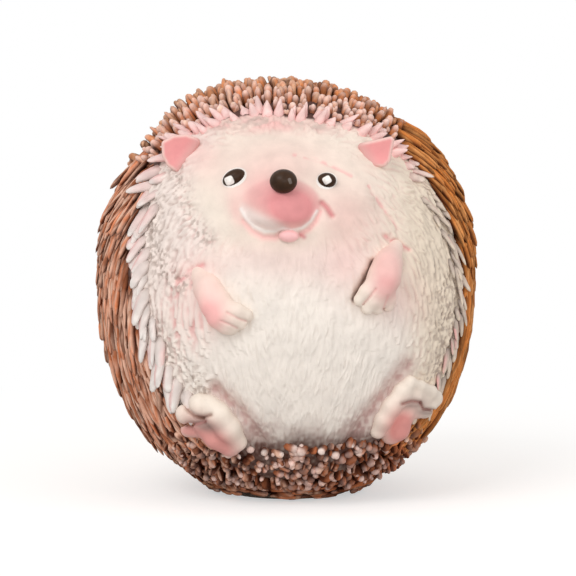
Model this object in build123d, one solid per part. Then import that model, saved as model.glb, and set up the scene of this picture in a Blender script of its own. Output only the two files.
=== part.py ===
from build123d import *
import os
from math import acos, asin, cos, degrees, pi, radians, sin, sqrt

# A sitting hedgehog ornament: two hollow cast shells, with the small parts glued into sockets.
# Millimetres. +Z is up, the face looks along -Y, the origin is the middle of the pad's underside.
# Left and right are as seen by someone who faces the hedgehog.
# A place is two angles in degrees: the turn from straight ahead towards +X, and the lift from level.

# Body
BODY_DIAMETER = 79.0
CROWN_HEIGHT = 88.0
WAIST_HEIGHT = 43.5
BASE_DIAMETER = 30.0
UPPER_FULLNESS = 2.2  # exponents of the side view: 2 is an ellipse, more is squarer
LOWER_FULLNESS = 2.0
WALL = 4.0

# Seam between the two shells
RIM_FORWARD = 20.0
RIM_TILT = 6.0
RIM_TURN = 5.0
LAP_LENGTH = 3.0
GLUE_GAP = 0.1

# Spine coat of the back
SPINE_LENGTH = 7.0
SPINE_WIDTH = 3.2
SPINE_TIP = 0.9
SPINE_PITCH = 5.6
SPINE_LEAN = 60.0
SPINE_SWEEP = 35.0
SPINE_ROOT = 1.0
SPINE_FLOOR = 1.0
BARE_HEM = 2.5

# Pale fringe of the belly
FRINGE_LENGTH = 8.0
FRINGE_WIDTH = 3.0
FRINGE_PITCH = 4.8
FRINGE_LEAN = 58.0
FRINGE_SETBACK = 3.0
FRINGE_HEM = 9.0

# Knobs below the belly, in rows ahead of the seam
KNOB_LENGTH = 3.4
KNOB_WIDTH = 3.2
KNOB_TIP = 1.8
KNOB_LEAN = 15.0
KNOB_PITCH = 4.4
KNOB_SETBACKS = (2.4, 6.4)
KNOB_TOP = 12.0

# Head and muzzle
HEAD_PLACE = (-1.5, 38.0)
HEAD_DIAMETER = 48.0
HEAD_RISE = 4.0
SNOUT_PLACE = (-1.0, 20.9)
SNOUT_REACH = 27.0
SNOUT_ROOT_REACH = 18.0
SNOUT_ROOT_RADIUS = 7.0
SNOUT_TIP_RADIUS = 3.5
MUZZLE_PLACE = (-1.7, 15.3)
MUZZLE_SIZE = (18.5, 13.6, 15.0)
MUZZLE_SINK = 2.0
TONGUE_PLACE = (1.5, -0.6)
TONGUE_SIZE = (4.4, 3.0, 4.0)

# Eyes and nose
EYE_PLACES = {"left_eye": (-30.7, 29.0), "right_eye": (24.6, 26.9)}
EYE_SIZE = (4.8, 3.7, 3.2)
NOSE_LIFT = 34.0
NOSE_SIZE = (6.4, 5.5, 4.6)
EYE_SINK = 0.4
NOSE_SINK = 0.4
STEM_DIAMETER = 1.6
STEM_DEPTH = 4.0

# Ears
EAR_PLACES = {"left_ear": (-44.7, 46.2), "right_ear": (36.1, 47.1)}
EAR_LENGTH = 8.0
EAR_WIDTH = 9.0
EAR_MIDDLE = 2.5
EAR_TIP_RADIUS = 1.6
EAR_THICKNESS = 1.4
EAR_CUP_RADIUS = 7.5

# Arms: the places of the shoulder and of the paw, the fingers' turn from the arm's line, and their count
ARMS = {
    "left_arm": ((-27.2, 9.5), (-19.3, -0.6), 24.0, 3),
    "right_arm": ((33.7, 17.2), (28.0, 6.8), 0.0, 4),
}
SHOULDER_RADIUS = 3.4
WRIST_RADIUS = 3.0
PAW_RADIUS = 3.3
SHOULDER_STAND = 1.0
PAW_STAND = 1.9
FINGER_RADIUS = 1.3
FINGER_LENGTH = 2.3
FINGER_SPREAD = 27.0

# Feet: the places of the heel and of the ball behind the toes, the toes' turn, and their count
FEET = {
    "left_foot": ((-18.7, -40.8), (-26.3, -31.7), 39.0, 3),
    "right_foot": ((38.0, -39.1), (41.6, -27.6), -60.0, 3),
}
HEEL_RADIUS = 3.8
INSTEP_RADIUS = 3.6
BALL_RADIUS = 4.0
HEEL_STAND = 1.4
BALL_STAND = 2.4
TOE_RADIUS = 1.9
TOE_LENGTH = 2.6
TOE_SPREAD = 40.0

# Pegs that hold the ears and limbs
PEG_DIAMETER = 2.4
PEG_PROUD = 1.2
SOCKET_FLOOR = 1.0

# Felt pad under the base
PAD_THICKNESS = 1.2
PAD_MARGIN = 1.5

PROFILE_STEPS = 8
RIM_STEPS = 12
MIDDLE = Vector(0, 0, WAIST_HEIGHT)
BODY_RADIUS = BODY_DIAMETER / 2
BASE_RADIUS = BASE_DIAMETER / 2
UPPER_REACH = CROWN_HEIGHT - WAIST_HEIGHT
BASE_SHARE = 1 - (BASE_RADIUS / BODY_RADIUS) ** LOWER_FULLNESS
LOWER_REACH = (WAIST_HEIGHT - PAD_THICKNESS) / BASE_SHARE ** (1 / LOWER_FULLNESS)
HEAD_RADIUS = HEAD_DIAMETER / 2
PEG_DEPTH = WALL - SOCKET_FLOOR
RIM_ANGLE = acos(RIM_FORWARD / BODY_RADIUS)


def direction(turn, lift):
    """Unit vector for a place."""
    flat = cos(radians(lift))
    return Vector(sin(radians(turn)) * flat, -cos(radians(turn)) * flat, sin(radians(lift)))


def skin_point(ray):
    """Point of the body's skin on a ray from the middle, and the outward normal there."""
    reach = UPPER_REACH if ray.Z > 0 else LOWER_REACH
    power = UPPER_FULLNESS if ray.Z > 0 else LOWER_FULLNESS
    around = sqrt(ray.X**2 + ray.Y**2)
    share = (around / BODY_RADIUS) ** power + (abs(ray.Z) / reach) ** power
    offset = ray * share ** (-1 / power)
    out = (offset - Vector(0, 0, offset.Z)).length
    slope_out = (out / BODY_RADIUS) ** (power - 1) / BODY_RADIUS
    slope_up = (abs(offset.Z) / reach) ** (power - 1) / reach
    flat = Vector(ray.X, ray.Y, 0).normalized() * slope_out
    normal = flat + Vector(0, 0, slope_up if ray.Z > 0 else -slope_up)
    return MIDDLE + offset, normal.normalized()


def profile_arc(radius, rise, fullness, first, last):
    """Points of the side view from one parameter angle to another; a negative rise goes below the waist."""
    points = []
    for step in range(PROFILE_STEPS + 1):
        angle = first + (last - first) * step / PROFILE_STEPS
        across = abs(cos(angle)) ** (2 / fullness)
        up = sin(angle) ** (2 / fullness)
        points.append((radius * across, WAIST_HEIGHT + rise * up))
    return points


def body_form(inset, base):
    """The body's solid form, drawn in all over, with a flat base at a height."""
    radius = BODY_RADIUS - inset
    upper = UPPER_REACH - inset
    lower = LOWER_REACH - inset
    start = asin(((WAIST_HEIGHT - base) / lower) ** (LOWER_FULLNESS / 2))
    below = profile_arc(radius, -lower, LOWER_FULLNESS, start, 0)
    above = profile_arc(radius, upper, UPPER_FULLNESS, 0, pi / 2)
    above[-1] = (0, WAIST_HEIGHT + upper)
    with BuildPart() as form:
        with BuildSketch(Plane.XZ):
            with BuildLine():
                Line((0, base), below[0])
                Spline(*below)
                Spline(*above, tangents=((0, 1), (-1, 0)))
                Line(above[-1], (0, base))
            make_face()
        revolve(axis=Axis.Z)
    return form.part


def ball(centre, radius):
    """Sphere at a point."""
    return Pos(*centre) * Sphere(radius)


def bar(start, start_radius, end, end_radius):
    """Round-ended bar that tapers from one radius to another."""
    length = (end - start).length
    slope = asin((start_radius - end_radius) / length)
    low = (start_radius * cos(slope), start_radius * sin(slope))
    high = (end_radius * cos(slope), length + end_radius * sin(slope))
    with BuildPart() as form:
        with BuildSketch(Plane.XZ):
            with BuildLine():
                CenterArc((0, 0), start_radius, -90, 90 + degrees(slope))
                Line(low, high)
                CenterArc((0, length), end_radius, degrees(slope), 90 - degrees(slope))
                Line((0, length + end_radius), (0, -start_radius))
            make_face()
        revolve(axis=Axis.Z)
    return Plane(origin=start, z_dir=end - start).location * form.part


def pin(root, axis, diameter, depth, proud):
    """Round pin from a height above a point down to a depth below it, along an outward axis."""
    plane = Plane(origin=root - axis * depth, z_dir=axis)
    return plane.location * Cylinder(diameter / 2, depth + proud, align=(Align.CENTER, Align.CENTER, Align.MIN))


def bead(size, centre, facing, grow=0):
    """Ellipsoid with its depth along the facing axis and its width level."""
    axes = tuple(side / 2 + grow for side in size)
    across = Vector(0, 0, 1).cross(facing)
    plane = Plane(origin=centre, x_dir=across, z_dir=facing)
    return plane.location * scale(Sphere(1), by=axes)


def one_solid(shape):
    """The largest solid of a shape."""
    return max(shape.solids(), key=lambda solid: solid.volume)


def facing_axis():
    """Forward normal of the seam's plane."""
    return direction(RIM_TURN, RIM_TILT)


def in_front(offset):
    """Everything ahead of the seam's plane, moved forward by an offset."""
    plane = Plane(origin=MIDDLE + facing_axis() * (RIM_FORWARD + offset), z_dir=facing_axis())
    span = 2 * (BODY_DIAMETER + CROWN_HEIGHT)
    return plane.location * Box(span, span, span, align=(Align.CENTER, Align.CENTER, Align.MIN))


def rim_angle(spoke):
    """Angle between the forward axis and the seam, along one spoke square to that axis."""
    axis = facing_axis()
    angle = RIM_ANGLE
    for _ in range(RIM_STEPS):
        point, _ = skin_point(axis * cos(angle) + spoke * sin(angle))
        angle = acos(RIM_FORWARD / (point - MIDDLE).length)
    return angle


def spoke_at(angle):
    """Unit vector square to the forward axis, at an angle round it."""
    axis = facing_axis()
    side = Vector(0, 0, 1).cross(axis).normalized()
    return side * cos(angle) + axis.cross(side) * sin(angle)


def spine_blank(length, width, tip):
    """Four-sided spine that stands on its sunk root along Z."""
    whole = length + SPINE_ROOT
    taper = degrees(asin((width - tip) / 2 / whole))
    return Pos(0, 0, -SPINE_ROOT) * extrude(Rectangle(width, width), amount=whole, taper=taper)


def spine_axis(length, root, normal, lean, back):
    """Direction that leans back along the skin, lifted where the tip would reach the table."""
    along = (back - normal * back.dot(normal)).normalized()
    axis = normal * cos(radians(lean)) + along * sin(radians(lean))
    lowest = (PAD_THICKNESS + SPINE_FLOOR - root.Z) / length
    if axis.Z < lowest:
        axis = Vector(axis.X, axis.Y, 0).normalized() * sqrt(1 - lowest**2) + Vector(0, 0, lowest)
    return axis


def set_spine(blank, root, normal, axis):
    """A spine stood on the skin along its axis."""
    plane = Plane(origin=root, x_dir=normal.cross(axis), z_dir=axis)
    return one_solid(blank.moved(plane.location))


def has_room(points, keep_clear):
    """Whether all of some points stand clear of the ears and feet."""
    return all((point - place).length > room for point in points for place, room in keep_clear)


def coat_spines(keep_clear):
    """Spines in rows that follow the seam back over the body."""
    axis = facing_axis()
    back = axis * -cos(radians(SPINE_SWEEP)) + Vector(0, 0, -sin(radians(SPINE_SWEEP)))
    blank = spine_blank(SPINE_LENGTH, SPINE_WIDTH, SPINE_TIP)
    rows = round((pi - RIM_ANGLE) * BODY_RADIUS / SPINE_PITCH)
    spines = []
    for row in range(rows):
        share = (row + 0.5) / rows
        ring = 2 * pi * BODY_RADIUS * sin(RIM_ANGLE + (pi - RIM_ANGLE) * share)
        count = max(1, round(ring / SPINE_PITCH))
        for index in range(count):
            spoke = spoke_at(2 * pi * (index + 0.5 * (row % 2)) / count)
            start = rim_angle(spoke)
            angle = start + (pi - start) * share
            root, normal = skin_point(axis * cos(angle) + spoke * sin(angle))
            if root.Z < PAD_THICKNESS + BARE_HEM:
                continue
            lean_axis = spine_axis(SPINE_LENGTH, root, normal, SPINE_LEAN, back)
            if has_room((root, root + lean_axis * SPINE_LENGTH), keep_clear):
                spines.append(set_spine(blank, root, normal, lean_axis))
    return spines


def rim_row(blank, length, lean, pitch, setback, heights, keep_clear):
    """One row of spines ahead of the seam by a setback, rooted between two heights above the base."""
    axis = facing_axis()
    count = round(2 * pi * BODY_RADIUS / pitch)
    spines = []
    for index in range(count):
        spoke = spoke_at(2 * pi * index / count)
        angle = rim_angle(spoke) - setback / BODY_RADIUS
        root, normal = skin_point(axis * cos(angle) + spoke * sin(angle))
        if not heights[0] < root.Z - PAD_THICKNESS < heights[1]:
            continue
        lean_axis = spine_axis(length, root, normal, lean, axis * -1)
        if has_room((root, root + lean_axis * length), keep_clear):
            spines.append(set_spine(blank, root, normal, lean_axis))
    return spines


def fringe_spines(keep_clear):
    """Pale spines just ahead of the seam, with rows of knobs below the belly."""
    blank = spine_blank(FRINGE_LENGTH, FRINGE_WIDTH, SPINE_TIP)
    span = (FRINGE_HEM, CROWN_HEIGHT)
    spines = rim_row(blank, FRINGE_LENGTH, FRINGE_LEAN, FRINGE_PITCH, FRINGE_SETBACK, span, keep_clear)
    knob = spine_blank(KNOB_LENGTH, KNOB_WIDTH, KNOB_TIP)
    for setback in KNOB_SETBACKS:
        spines += rim_row(knob, KNOB_LENGTH, KNOB_LEAN, KNOB_PITCH, setback, (BARE_HEM, KNOB_TOP), keep_clear)
    return spines


def head_centre():
    """Centre of the ball that the head is part of."""
    root, normal = skin_point(direction(*HEAD_PLACE))
    return root + normal * (HEAD_RISE - HEAD_RADIUS)


def head_point(place, reach):
    """Point at a distance from the head's centre."""
    return head_centre() + direction(*place) * reach


def snout_tip():
    """Centre of the snout's rounded end."""
    return head_point(SNOUT_PLACE, SNOUT_REACH)


def head_form():
    """Head, snout, muzzle and tongue, before the body is added."""
    snout_root = head_point(SNOUT_PLACE, SNOUT_ROOT_REACH)
    form = ball(head_centre(), HEAD_RADIUS) + bar(snout_root, SNOUT_ROOT_RADIUS, snout_tip(), SNOUT_TIP_RADIUS)
    form += bead(MUZZLE_SIZE, head_point(MUZZLE_PLACE, HEAD_RADIUS - MUZZLE_SINK), direction(*MUZZLE_PLACE))
    return form + bead(TONGUE_SIZE, head_point(TONGUE_PLACE, HEAD_RADIUS), direction(*TONGUE_PLACE))


def glue_skin():
    """The body and head grown by the glue gap, which trims whatever sits on them."""
    return body_form(-GLUE_GAP, PAD_THICKNESS) + ball(head_centre(), HEAD_RADIUS + GLUE_GAP)


def ear(place, skin):
    """Cupped ear with its stem, and the socket for the stem."""
    root, normal = skin_point(direction(*place))
    ahead = Vector(0, -1, 0)
    facing = (ahead - normal * ahead.dot(normal)).normalized()
    with BuildSketch() as petal:
        with Locations((0, EAR_MIDDLE)):
            Circle(EAR_WIDTH / 2)
        with Locations((0, EAR_LENGTH - EAR_TIP_RADIUS)):
            Circle(EAR_TIP_RADIUS)
        make_hull()
    cup_depth = sqrt(EAR_CUP_RADIUS**2 - (EAR_WIDTH / 2) ** 2)
    cup = Pos(0, EAR_MIDDLE, cup_depth) * (Sphere(EAR_CUP_RADIUS) - Sphere(EAR_CUP_RADIUS - EAR_THICKNESS))
    blank = Pos(0, 0, cup_depth) * extrude(petal.sketch, amount=-2 * EAR_CUP_RADIUS)
    plane = Plane(origin=root, x_dir=normal.cross(facing), z_dir=facing)
    flap = one_solid(plane.location * (cup & blank) - skin)
    wall_middle = cup_depth - sqrt((EAR_CUP_RADIUS - EAR_THICKNESS / 2) ** 2 - EAR_MIDDLE**2)
    foot = root + facing * wall_middle
    stem = pin(foot, normal, STEM_DIAMETER, PEG_DEPTH, PEG_PROUD)
    socket = pin(foot, normal, STEM_DIAMETER + 2 * GLUE_GAP, PEG_DEPTH + GLUE_GAP, PEG_PROUD)
    return one_solid(flap + stem), socket


def digits(centre, along, normal, reach, count, radius, turn, spread):
    """Fingers or toes fanned round a direction along the skin, turned anticlockwise as the viewer sees it."""
    side = normal.cross(along)
    fan = []
    for index in range(count):
        angle = radians(turn + spread * (index - (count - 1) / 2))
        aim = along * cos(angle) + side * sin(angle)
        fan.append(bar(centre, radius, centre + aim * (reach - radius), radius))
    return fan


def limb(plan, radii, stands, tip_radius, digit, skin):
    """Arm or foot on a peg, and the socket for the peg."""
    *places, turn, count = plan
    radius, length, spread = digit
    (start, start_normal), (end, end_normal) = (skin_point(direction(*place)) for place in places)
    start += start_normal * stands[0]
    end += end_normal * stands[1]
    along = (end - start).normalized()
    along = (along - end_normal * along.dot(end_normal)).normalized()
    form = bar(start, radii[0], end, radii[1]) + ball(end, tip_radius)
    for finger in digits(end, along, end_normal, tip_radius + length, count, radius, turn, spread):
        form += finger
    middle = [(first + last) / 2 for first, last in zip(*places)]
    root, normal = skin_point(direction(*middle))
    peg = pin(root, normal, PEG_DIAMETER, PEG_DEPTH, PEG_PROUD)
    socket = pin(root, normal, PEG_DIAMETER + 2 * GLUE_GAP, PEG_DEPTH + GLUE_GAP, PEG_PROUD)
    return one_solid(one_solid(form - skin) + peg), socket


def studded_bead(size, centre, facing):
    """Bead on a stem, and the seat that both sink into."""
    part = bead(size, centre, facing) + pin(centre, facing, STEM_DIAMETER, STEM_DEPTH, 0)
    hole = pin(centre, facing, STEM_DIAMETER + 2 * GLUE_GAP, STEM_DEPTH + GLUE_GAP, 0)
    return one_solid(part), bead(size, centre, facing, GLUE_GAP) + hole


def make_parts():
    """Every piece of the figurine by name."""
    parts = {}
    seats = []
    keep_clear = []
    skin = glue_skin()
    for name, place in EAR_PLACES.items():
        parts[name], seat = ear(place, skin)
        seats.append(seat)
        keep_clear.append((skin_point(direction(*place))[0], EAR_WIDTH / 2 + FRINGE_WIDTH))
    finger = (FINGER_RADIUS, FINGER_LENGTH, FINGER_SPREAD)
    for name, plan in ARMS.items():
        radii = (SHOULDER_RADIUS, WRIST_RADIUS)
        parts[name], seat = limb(plan, radii, (SHOULDER_STAND, PAW_STAND), PAW_RADIUS, finger, skin)
        seats.append(seat)
    toe = (TOE_RADIUS, TOE_LENGTH, TOE_SPREAD)
    for name, plan in FEET.items():
        radii = (HEEL_RADIUS, INSTEP_RADIUS)
        parts[name], seat = limb(plan, radii, (HEEL_STAND, BALL_STAND), BALL_RADIUS, toe, skin)
        seats.append(seat)
        for place in plan[:2]:
            room = BALL_RADIUS + TOE_LENGTH + FRINGE_WIDTH
            keep_clear.append((skin_point(direction(*place))[0], room))
    for name, place in EYE_PLACES.items():
        parts[name], seat = studded_bead(EYE_SIZE, head_point(place, HEAD_RADIUS - EYE_SINK), direction(*place))
        seats.append(seat)
    nose_facing = direction(SNOUT_PLACE[0], NOSE_LIFT)
    nose_centre = snout_tip() + nose_facing * (SNOUT_TIP_RADIUS - NOSE_SINK)
    parts["nose"], seat = studded_bead(NOSE_SIZE, nose_centre, nose_facing)
    seats.append(seat)
    parts["back_shell"] = back_shell(keep_clear)
    parts["belly_shell"] = belly_shell(seats, keep_clear)
    pad_radius = BASE_RADIUS - PAD_MARGIN
    parts["base_pad"] = Cylinder(pad_radius, PAD_THICKNESS, align=(Align.CENTER, Align.CENTER, Align.MIN))
    return parts


def cavity():
    """The hollow inside both shells."""
    return body_form(WALL, PAD_THICKNESS + WALL)


def lap_form(inset):
    """The body drawn in to the middle of its wall, with a share of the glue gap."""
    depth = WALL / 2 + inset
    return body_form(depth, PAD_THICKNESS + depth)


def back_shell(keep_clear):
    """Spined back with the flat base, rebated along the seam."""
    shell = body_form(0, PAD_THICKNESS) - in_front(0) - cavity()
    shell -= lap_form(-GLUE_GAP / 2) & in_front(-LAP_LENGTH - GLUE_GAP)
    return one_solid(shell).fuse(*coat_spines(keep_clear))


def belly_shell(seats, keep_clear):
    """Front with the head and muzzle, its lap inside the back's rim, its fringe and its sockets."""
    front = (body_form(0, PAD_THICKNESS) + head_form()) & in_front(GLUE_GAP)
    lap = lap_form(GLUE_GAP / 2) & in_front(-LAP_LENGTH)
    shell = one_solid(front + lap - cavity())
    shell = shell.fuse(*fringe_spines(keep_clear))
    return shell.cut(*[one_solid(seat) for seat in seats])


os.makedirs("parts", exist_ok=True)
for part_name, part_shape in make_parts().items():
    export_step(part_shape, f"parts/{part_name}.step")
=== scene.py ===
import math
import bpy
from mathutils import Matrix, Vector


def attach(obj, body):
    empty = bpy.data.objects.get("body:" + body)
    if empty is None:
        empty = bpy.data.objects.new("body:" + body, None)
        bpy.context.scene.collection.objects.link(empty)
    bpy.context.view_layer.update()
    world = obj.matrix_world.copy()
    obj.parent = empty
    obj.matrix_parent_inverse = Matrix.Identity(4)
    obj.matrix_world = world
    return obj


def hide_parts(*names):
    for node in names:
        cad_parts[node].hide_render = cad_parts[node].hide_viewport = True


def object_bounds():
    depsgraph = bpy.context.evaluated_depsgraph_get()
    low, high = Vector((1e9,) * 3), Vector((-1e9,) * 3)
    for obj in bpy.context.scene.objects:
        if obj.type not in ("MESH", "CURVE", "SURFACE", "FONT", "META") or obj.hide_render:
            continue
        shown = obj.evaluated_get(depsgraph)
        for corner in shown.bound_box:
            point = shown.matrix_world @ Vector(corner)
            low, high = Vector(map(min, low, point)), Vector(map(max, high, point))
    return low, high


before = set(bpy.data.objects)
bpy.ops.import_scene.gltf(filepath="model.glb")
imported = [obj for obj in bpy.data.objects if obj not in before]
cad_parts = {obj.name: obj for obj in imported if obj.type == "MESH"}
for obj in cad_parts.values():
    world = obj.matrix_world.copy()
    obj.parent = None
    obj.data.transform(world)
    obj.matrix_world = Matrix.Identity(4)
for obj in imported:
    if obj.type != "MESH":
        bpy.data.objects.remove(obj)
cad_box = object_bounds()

from types import SimpleNamespace

import bpy
import numpy as np
import openvdb

# The looks of a sitting hedgehog ornament. Sizes are millimetres until a mesh is made.
# A place is a pixel (x, y) of the 576 by 576 frame that the camera below gives.
# Rows and columns are spans of pixels over which a weight goes from 0 to 1. Colours are linear.
MM = 0.001
FRAME_PIXELS = 576
SENSOR = 36.0
rng = np.random.default_rng(11)

# Body, as the solids have it
BODY_RADIUS = 39.5
BASE_RADIUS = 15.0
BASE_HEIGHT = 1.2
WAIST = 43.5
UPPER_REACH = 44.5
UPPER_FULLNESS = 2.2
LOWER_FULLNESS = 2.0
BASE_SHARE = 1 - (BASE_RADIUS / BODY_RADIUS) ** LOWER_FULLNESS
LOWER_REACH = (WAIST - BASE_HEIGHT) / BASE_SHARE ** (1 / LOWER_FULLNESS)
RIM_FORWARD = 20.0
RIM_TILT = 6.0
RIM_TURN = 5.0
MIDDLE = np.array([0.0, 0.0, WAIST])
BOX_LOW, BOX_HIGH = np.array(cad_box) / MM

# Camera
VIEW_LIFT = 5.0
VIEW_DISTANCE = 700.0
VIEW_HEIGHT = 45.0
PIXEL = 0.22
CENTRE_PIXEL = (287.0, 287.5)

# Paint
CREAM = np.array([0.90, 0.80, 0.70])
WHITE = np.array([0.90, 0.84, 0.78])
CHALK = np.array([0.97, 0.92, 0.88])
PEARL = np.array([0.91, 0.79, 0.75])
STRAW = np.array([0.84, 0.70, 0.52])
BLUSH = np.array([0.92, 0.50, 0.48])
ROSE = np.array([0.80, 0.30, 0.31])
TONGUE_PINK = np.array([1.00, 0.58, 0.58])
ARM_PINK = np.array([1.00, 0.52, 0.50])
SOLE_PINK = np.array([0.80, 0.34, 0.31])
EAR_PINK = np.array([0.86, 0.35, 0.35])
PINK_TIP = np.array([1.00, 0.70, 0.62])
PALE_TIP = np.array([0.90, 0.78, 0.72])
# Greys, mauves and browns: a grey wash, and painted shade in hollows, creases, gaps and under the coat
GREY_WASH_AND_SHADE = np.array([0.40, 0.33, 0.29])
MAUVE = np.array([0.42, 0.29, 0.26])
LEG_MAUVE = np.array([0.50, 0.28, 0.26])
BROWN_WASH_AND_SHADE = np.array([0.20, 0.085, 0.05])
CREVICE_SHADE = np.array([0.060, 0.013, 0.006])
SPINE_BROWN = np.array([0.60, 0.195, 0.085])
SPINE_OCHRE = np.array([0.64, 0.215, 0.050])
DRY_BRUSH = np.array([0.97, 0.62, 0.47])
OCHRE_BRUSH = np.array([0.82, 0.40, 0.15])
BEAD_BROWN = np.array([0.044, 0.020, 0.009])
FELT_BROWN = np.array([0.30, 0.24, 0.20])


# Vectors and blends
def unit(v):
    """Vectors scaled to length one."""
    return v / np.maximum(np.linalg.norm(v, axis=-1, keepdims=True), 1e-9)


def direction(turn, lift):
    """Unit vector turned from straight ahead towards +X and lifted from level, in degrees."""
    t, l = math.radians(turn), math.radians(lift)
    return np.array([math.sin(t) * math.cos(l), -math.cos(t) * math.cos(l), math.sin(l)])


FACING = direction(RIM_TURN, RIM_TILT)
SIDE = unit(np.cross([0, 0, 1], FACING))
RISE = np.cross(FACING, SIDE)
TO_CAMERA = direction(0, VIEW_LIFT)
VIEW_RIGHT = np.array([1.0, 0.0, 0.0])
VIEW_UP = np.cross(TO_CAMERA, VIEW_RIGHT)
CAMERA = np.array([0, 0, VIEW_HEIGHT]) + TO_CAMERA * VIEW_DISTANCE
FOCAL_PIXELS = VIEW_DISTANCE / PIXEL


def smooth(low, high, x):
    """Smooth step from 0 at low to 1 at high."""
    t = np.clip((x - low) / (high - low), 0, 1)
    return t * t * (3 - 2 * t)


def soft_max(a, b, k):
    """Larger of two values with a rounded join of size k."""
    h = np.clip(0.5 + 0.5 * (a - b) / k, 0, 1)
    return b + (a - b) * h + k * h * (1 - h)


def soft_min(a, b, k):
    """Smaller of two values with a rounded join of size k."""
    return -soft_max(-a, -b, k)


def mix(a, b, weight):
    """Colours blended by a weight."""
    w = np.asarray(weight)[..., None]
    return a * (1 - w) + b * w


def lay(paint, *layers):
    """Paint with layers of (colour, weight) on it."""
    for colour, weight in layers:
        paint = mix(paint, colour, weight)
    return paint


def dot(a, b):
    """Products of vectors along the last axis."""
    return np.sum(a * b, axis=-1)


def tangent(vectors, normals):
    """Unit parts of vectors that lie along the skin."""
    return unit(vectors - dot(vectors, normals)[..., None] * normals)


HASH_AXES = np.array([127.1, 311.7, 74.7])
HASH_SPREAD = 43758.5453


def mottle(points, size):
    """Smooth random values from 0 to 1 over points, in lumps of a size."""
    cell = np.floor(points / size)
    part = points / size - cell
    part = part * part * (3 - 2 * part)
    total = 0
    for corner in np.ndindex(2, 2, 2):
        value = np.abs(np.sin((cell + corner) @ HASH_AXES) * HASH_SPREAD) % 1.0
        total = total + value * np.prod(np.where(corner, part, 1 - part), axis=-1)
    return total


# Places in the photo
def to_pixels(points):
    """Photo places of points."""
    q = points - CAMERA
    depth = -(q @ TO_CAMERA)
    x = CENTRE_PIXEL[0] + FOCAL_PIXELS * (q @ VIEW_RIGHT) / depth
    y = CENTRE_PIXEL[1] - FOCAL_PIXELS * (q @ VIEW_UP) / depth
    return x, y


def pixel_size(point):
    """Millimetres that one pixel covers at a point."""
    return -((point - CAMERA) @ TO_CAMERA) / FOCAL_PIXELS


def oval(x, y, place, size, tilt=0.0, power=2):
    """Distance from a photo place in an oval's half sizes: 1 on its edge. A higher power squares it."""
    c, s = math.cos(math.radians(tilt)), math.sin(math.radians(tilt))
    dx, dy = x - place[0], place[1] - y
    a, b = np.abs(dx * c + dy * s) / size[0], np.abs(dy * c - dx * s) / size[1]
    return (a**power + b**power) ** (1 / power)


def blob(x, y, place, size, tilt=0.0):
    """Soft spot of weight: 1 in the middle, fading outside the oval."""
    return np.exp(-oval(x, y, place, size, tilt) ** 2)


def largest_blob(x, y, spots):
    """Largest weight of soft spots of (weight, place, size)."""
    return np.max([weight * blob(x, y, place, size) for weight, place, size in spots], axis=0)


def line_distance(x, y, places):
    """Distance from the nearest of a run of straight stretches."""
    best = np.full(np.shape(x), 1e9)
    for (x0, y0), (x1, y1) in zip(places[:-1], places[1:]):
        dx, dy = x1 - x0, y1 - y0
        t = np.clip(((x - x0) * dx + (y - y0) * dy) / (dx * dx + dy * dy), 0, 1)
        best = np.minimum(best, np.hypot(x - x0 - t * dx, y - y0 - t * dy))
    return best


def stroke(x, y, places, width):
    """Soft line of weight along a run of photo places."""
    return np.exp(-(line_distance(x, y, places) / width) ** 2)


def largest_stroke(x, y, lines, width):
    """Largest weight of some soft lines."""
    return np.max([stroke(x, y, line, width) for line in lines], axis=0)


def airbrush(paint, x, y, spots, gain=1.0):
    """Paint with soft spots of (colour, weight, place, size, tilt) laid on it."""
    for colour, weight, place, size, tilt in spots:
        paint = mix(paint, colour, weight * np.clip(gain * blob(x, y, place, size, tilt), 0, 1))
    return paint


# Skin of the bare body
def skin(rays):
    """Points and outward normals of the bare body along rays from its middle, cut flat at the base."""
    reach = np.where(rays[..., 2] > 0, UPPER_REACH, LOWER_REACH)
    power = np.where(rays[..., 2] > 0, UPPER_FULLNESS, LOWER_FULLNESS)
    around = np.hypot(rays[..., 0], rays[..., 1])
    share = (around / BODY_RADIUS) ** power + (np.abs(rays[..., 2]) / reach) ** power
    distance = share ** (-1 / power)
    offset = rays * distance[..., None]
    out = np.hypot(offset[..., 0], offset[..., 1])
    slope_out = (out / BODY_RADIUS) ** (power - 1) / BODY_RADIUS
    slope_up = (np.abs(offset[..., 2]) / reach) ** (power - 1) / reach
    flat = rays[..., :2] / np.maximum(around, 1e-9)[..., None] * slope_out[..., None]
    normal = np.concatenate([flat, (slope_up * np.sign(rays[..., 2]))[..., None]], axis=-1)
    to_base = (BASE_HEIGHT - WAIST) / np.minimum(rays[..., 2], -1e-9)
    return MIDDLE + rays * np.minimum(distance, to_base)[..., None], unit(normal)


def spoke(angle):
    """Unit vectors square to the facing axis: 0 is to the viewer's right, a quarter turn is up."""
    return np.cos(angle)[..., None] * SIDE + np.sin(angle)[..., None] * RISE


def ray_at(tip, angle):
    """Rays tipped from the facing axis along a spoke."""
    return np.cos(tip)[..., None] * FACING + np.sin(tip)[..., None] * spoke(angle)


def rim_tip(angle):
    """How far the seam's rim is tipped from the facing axis, for each spoke angle."""
    tip = np.full(np.shape(angle), math.pi / 3)
    for _ in range(12):
        points, _ = skin(ray_at(tip, angle))
        tip = np.arccos(RIM_FORWARD / np.linalg.norm(points - MIDDLE, axis=-1))
    return tip


# Pale edge: at these spoke angles the brown coat starts so many millimetres behind the seam
EDGE_ANGLES = (-180, -145, -115, -90, -70, -35, 0, 40, 90, 130, 180)
EDGE_BEHIND = (3.5, 0.5, -4.5, -11.0, -7.5, 5.2, 6.0, -1.0, -4.0, 6.5, 3.5)
# How far the coat's first roots are ahead of that edge: on top, at the sides, and more on the left
TOP_START = 2.6
SIDE_START = 1.0
LEFT_START = 3.2


def edge_tip(angle):
    """How far the pale edge is tipped from the facing axis, for each spoke angle."""
    turn = (np.degrees(angle) + 180) % 360 - 180
    return rim_tip(angle) + np.interp(turn, EDGE_ANGLES, EDGE_BEHIND) / BODY_RADIUS


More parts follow.
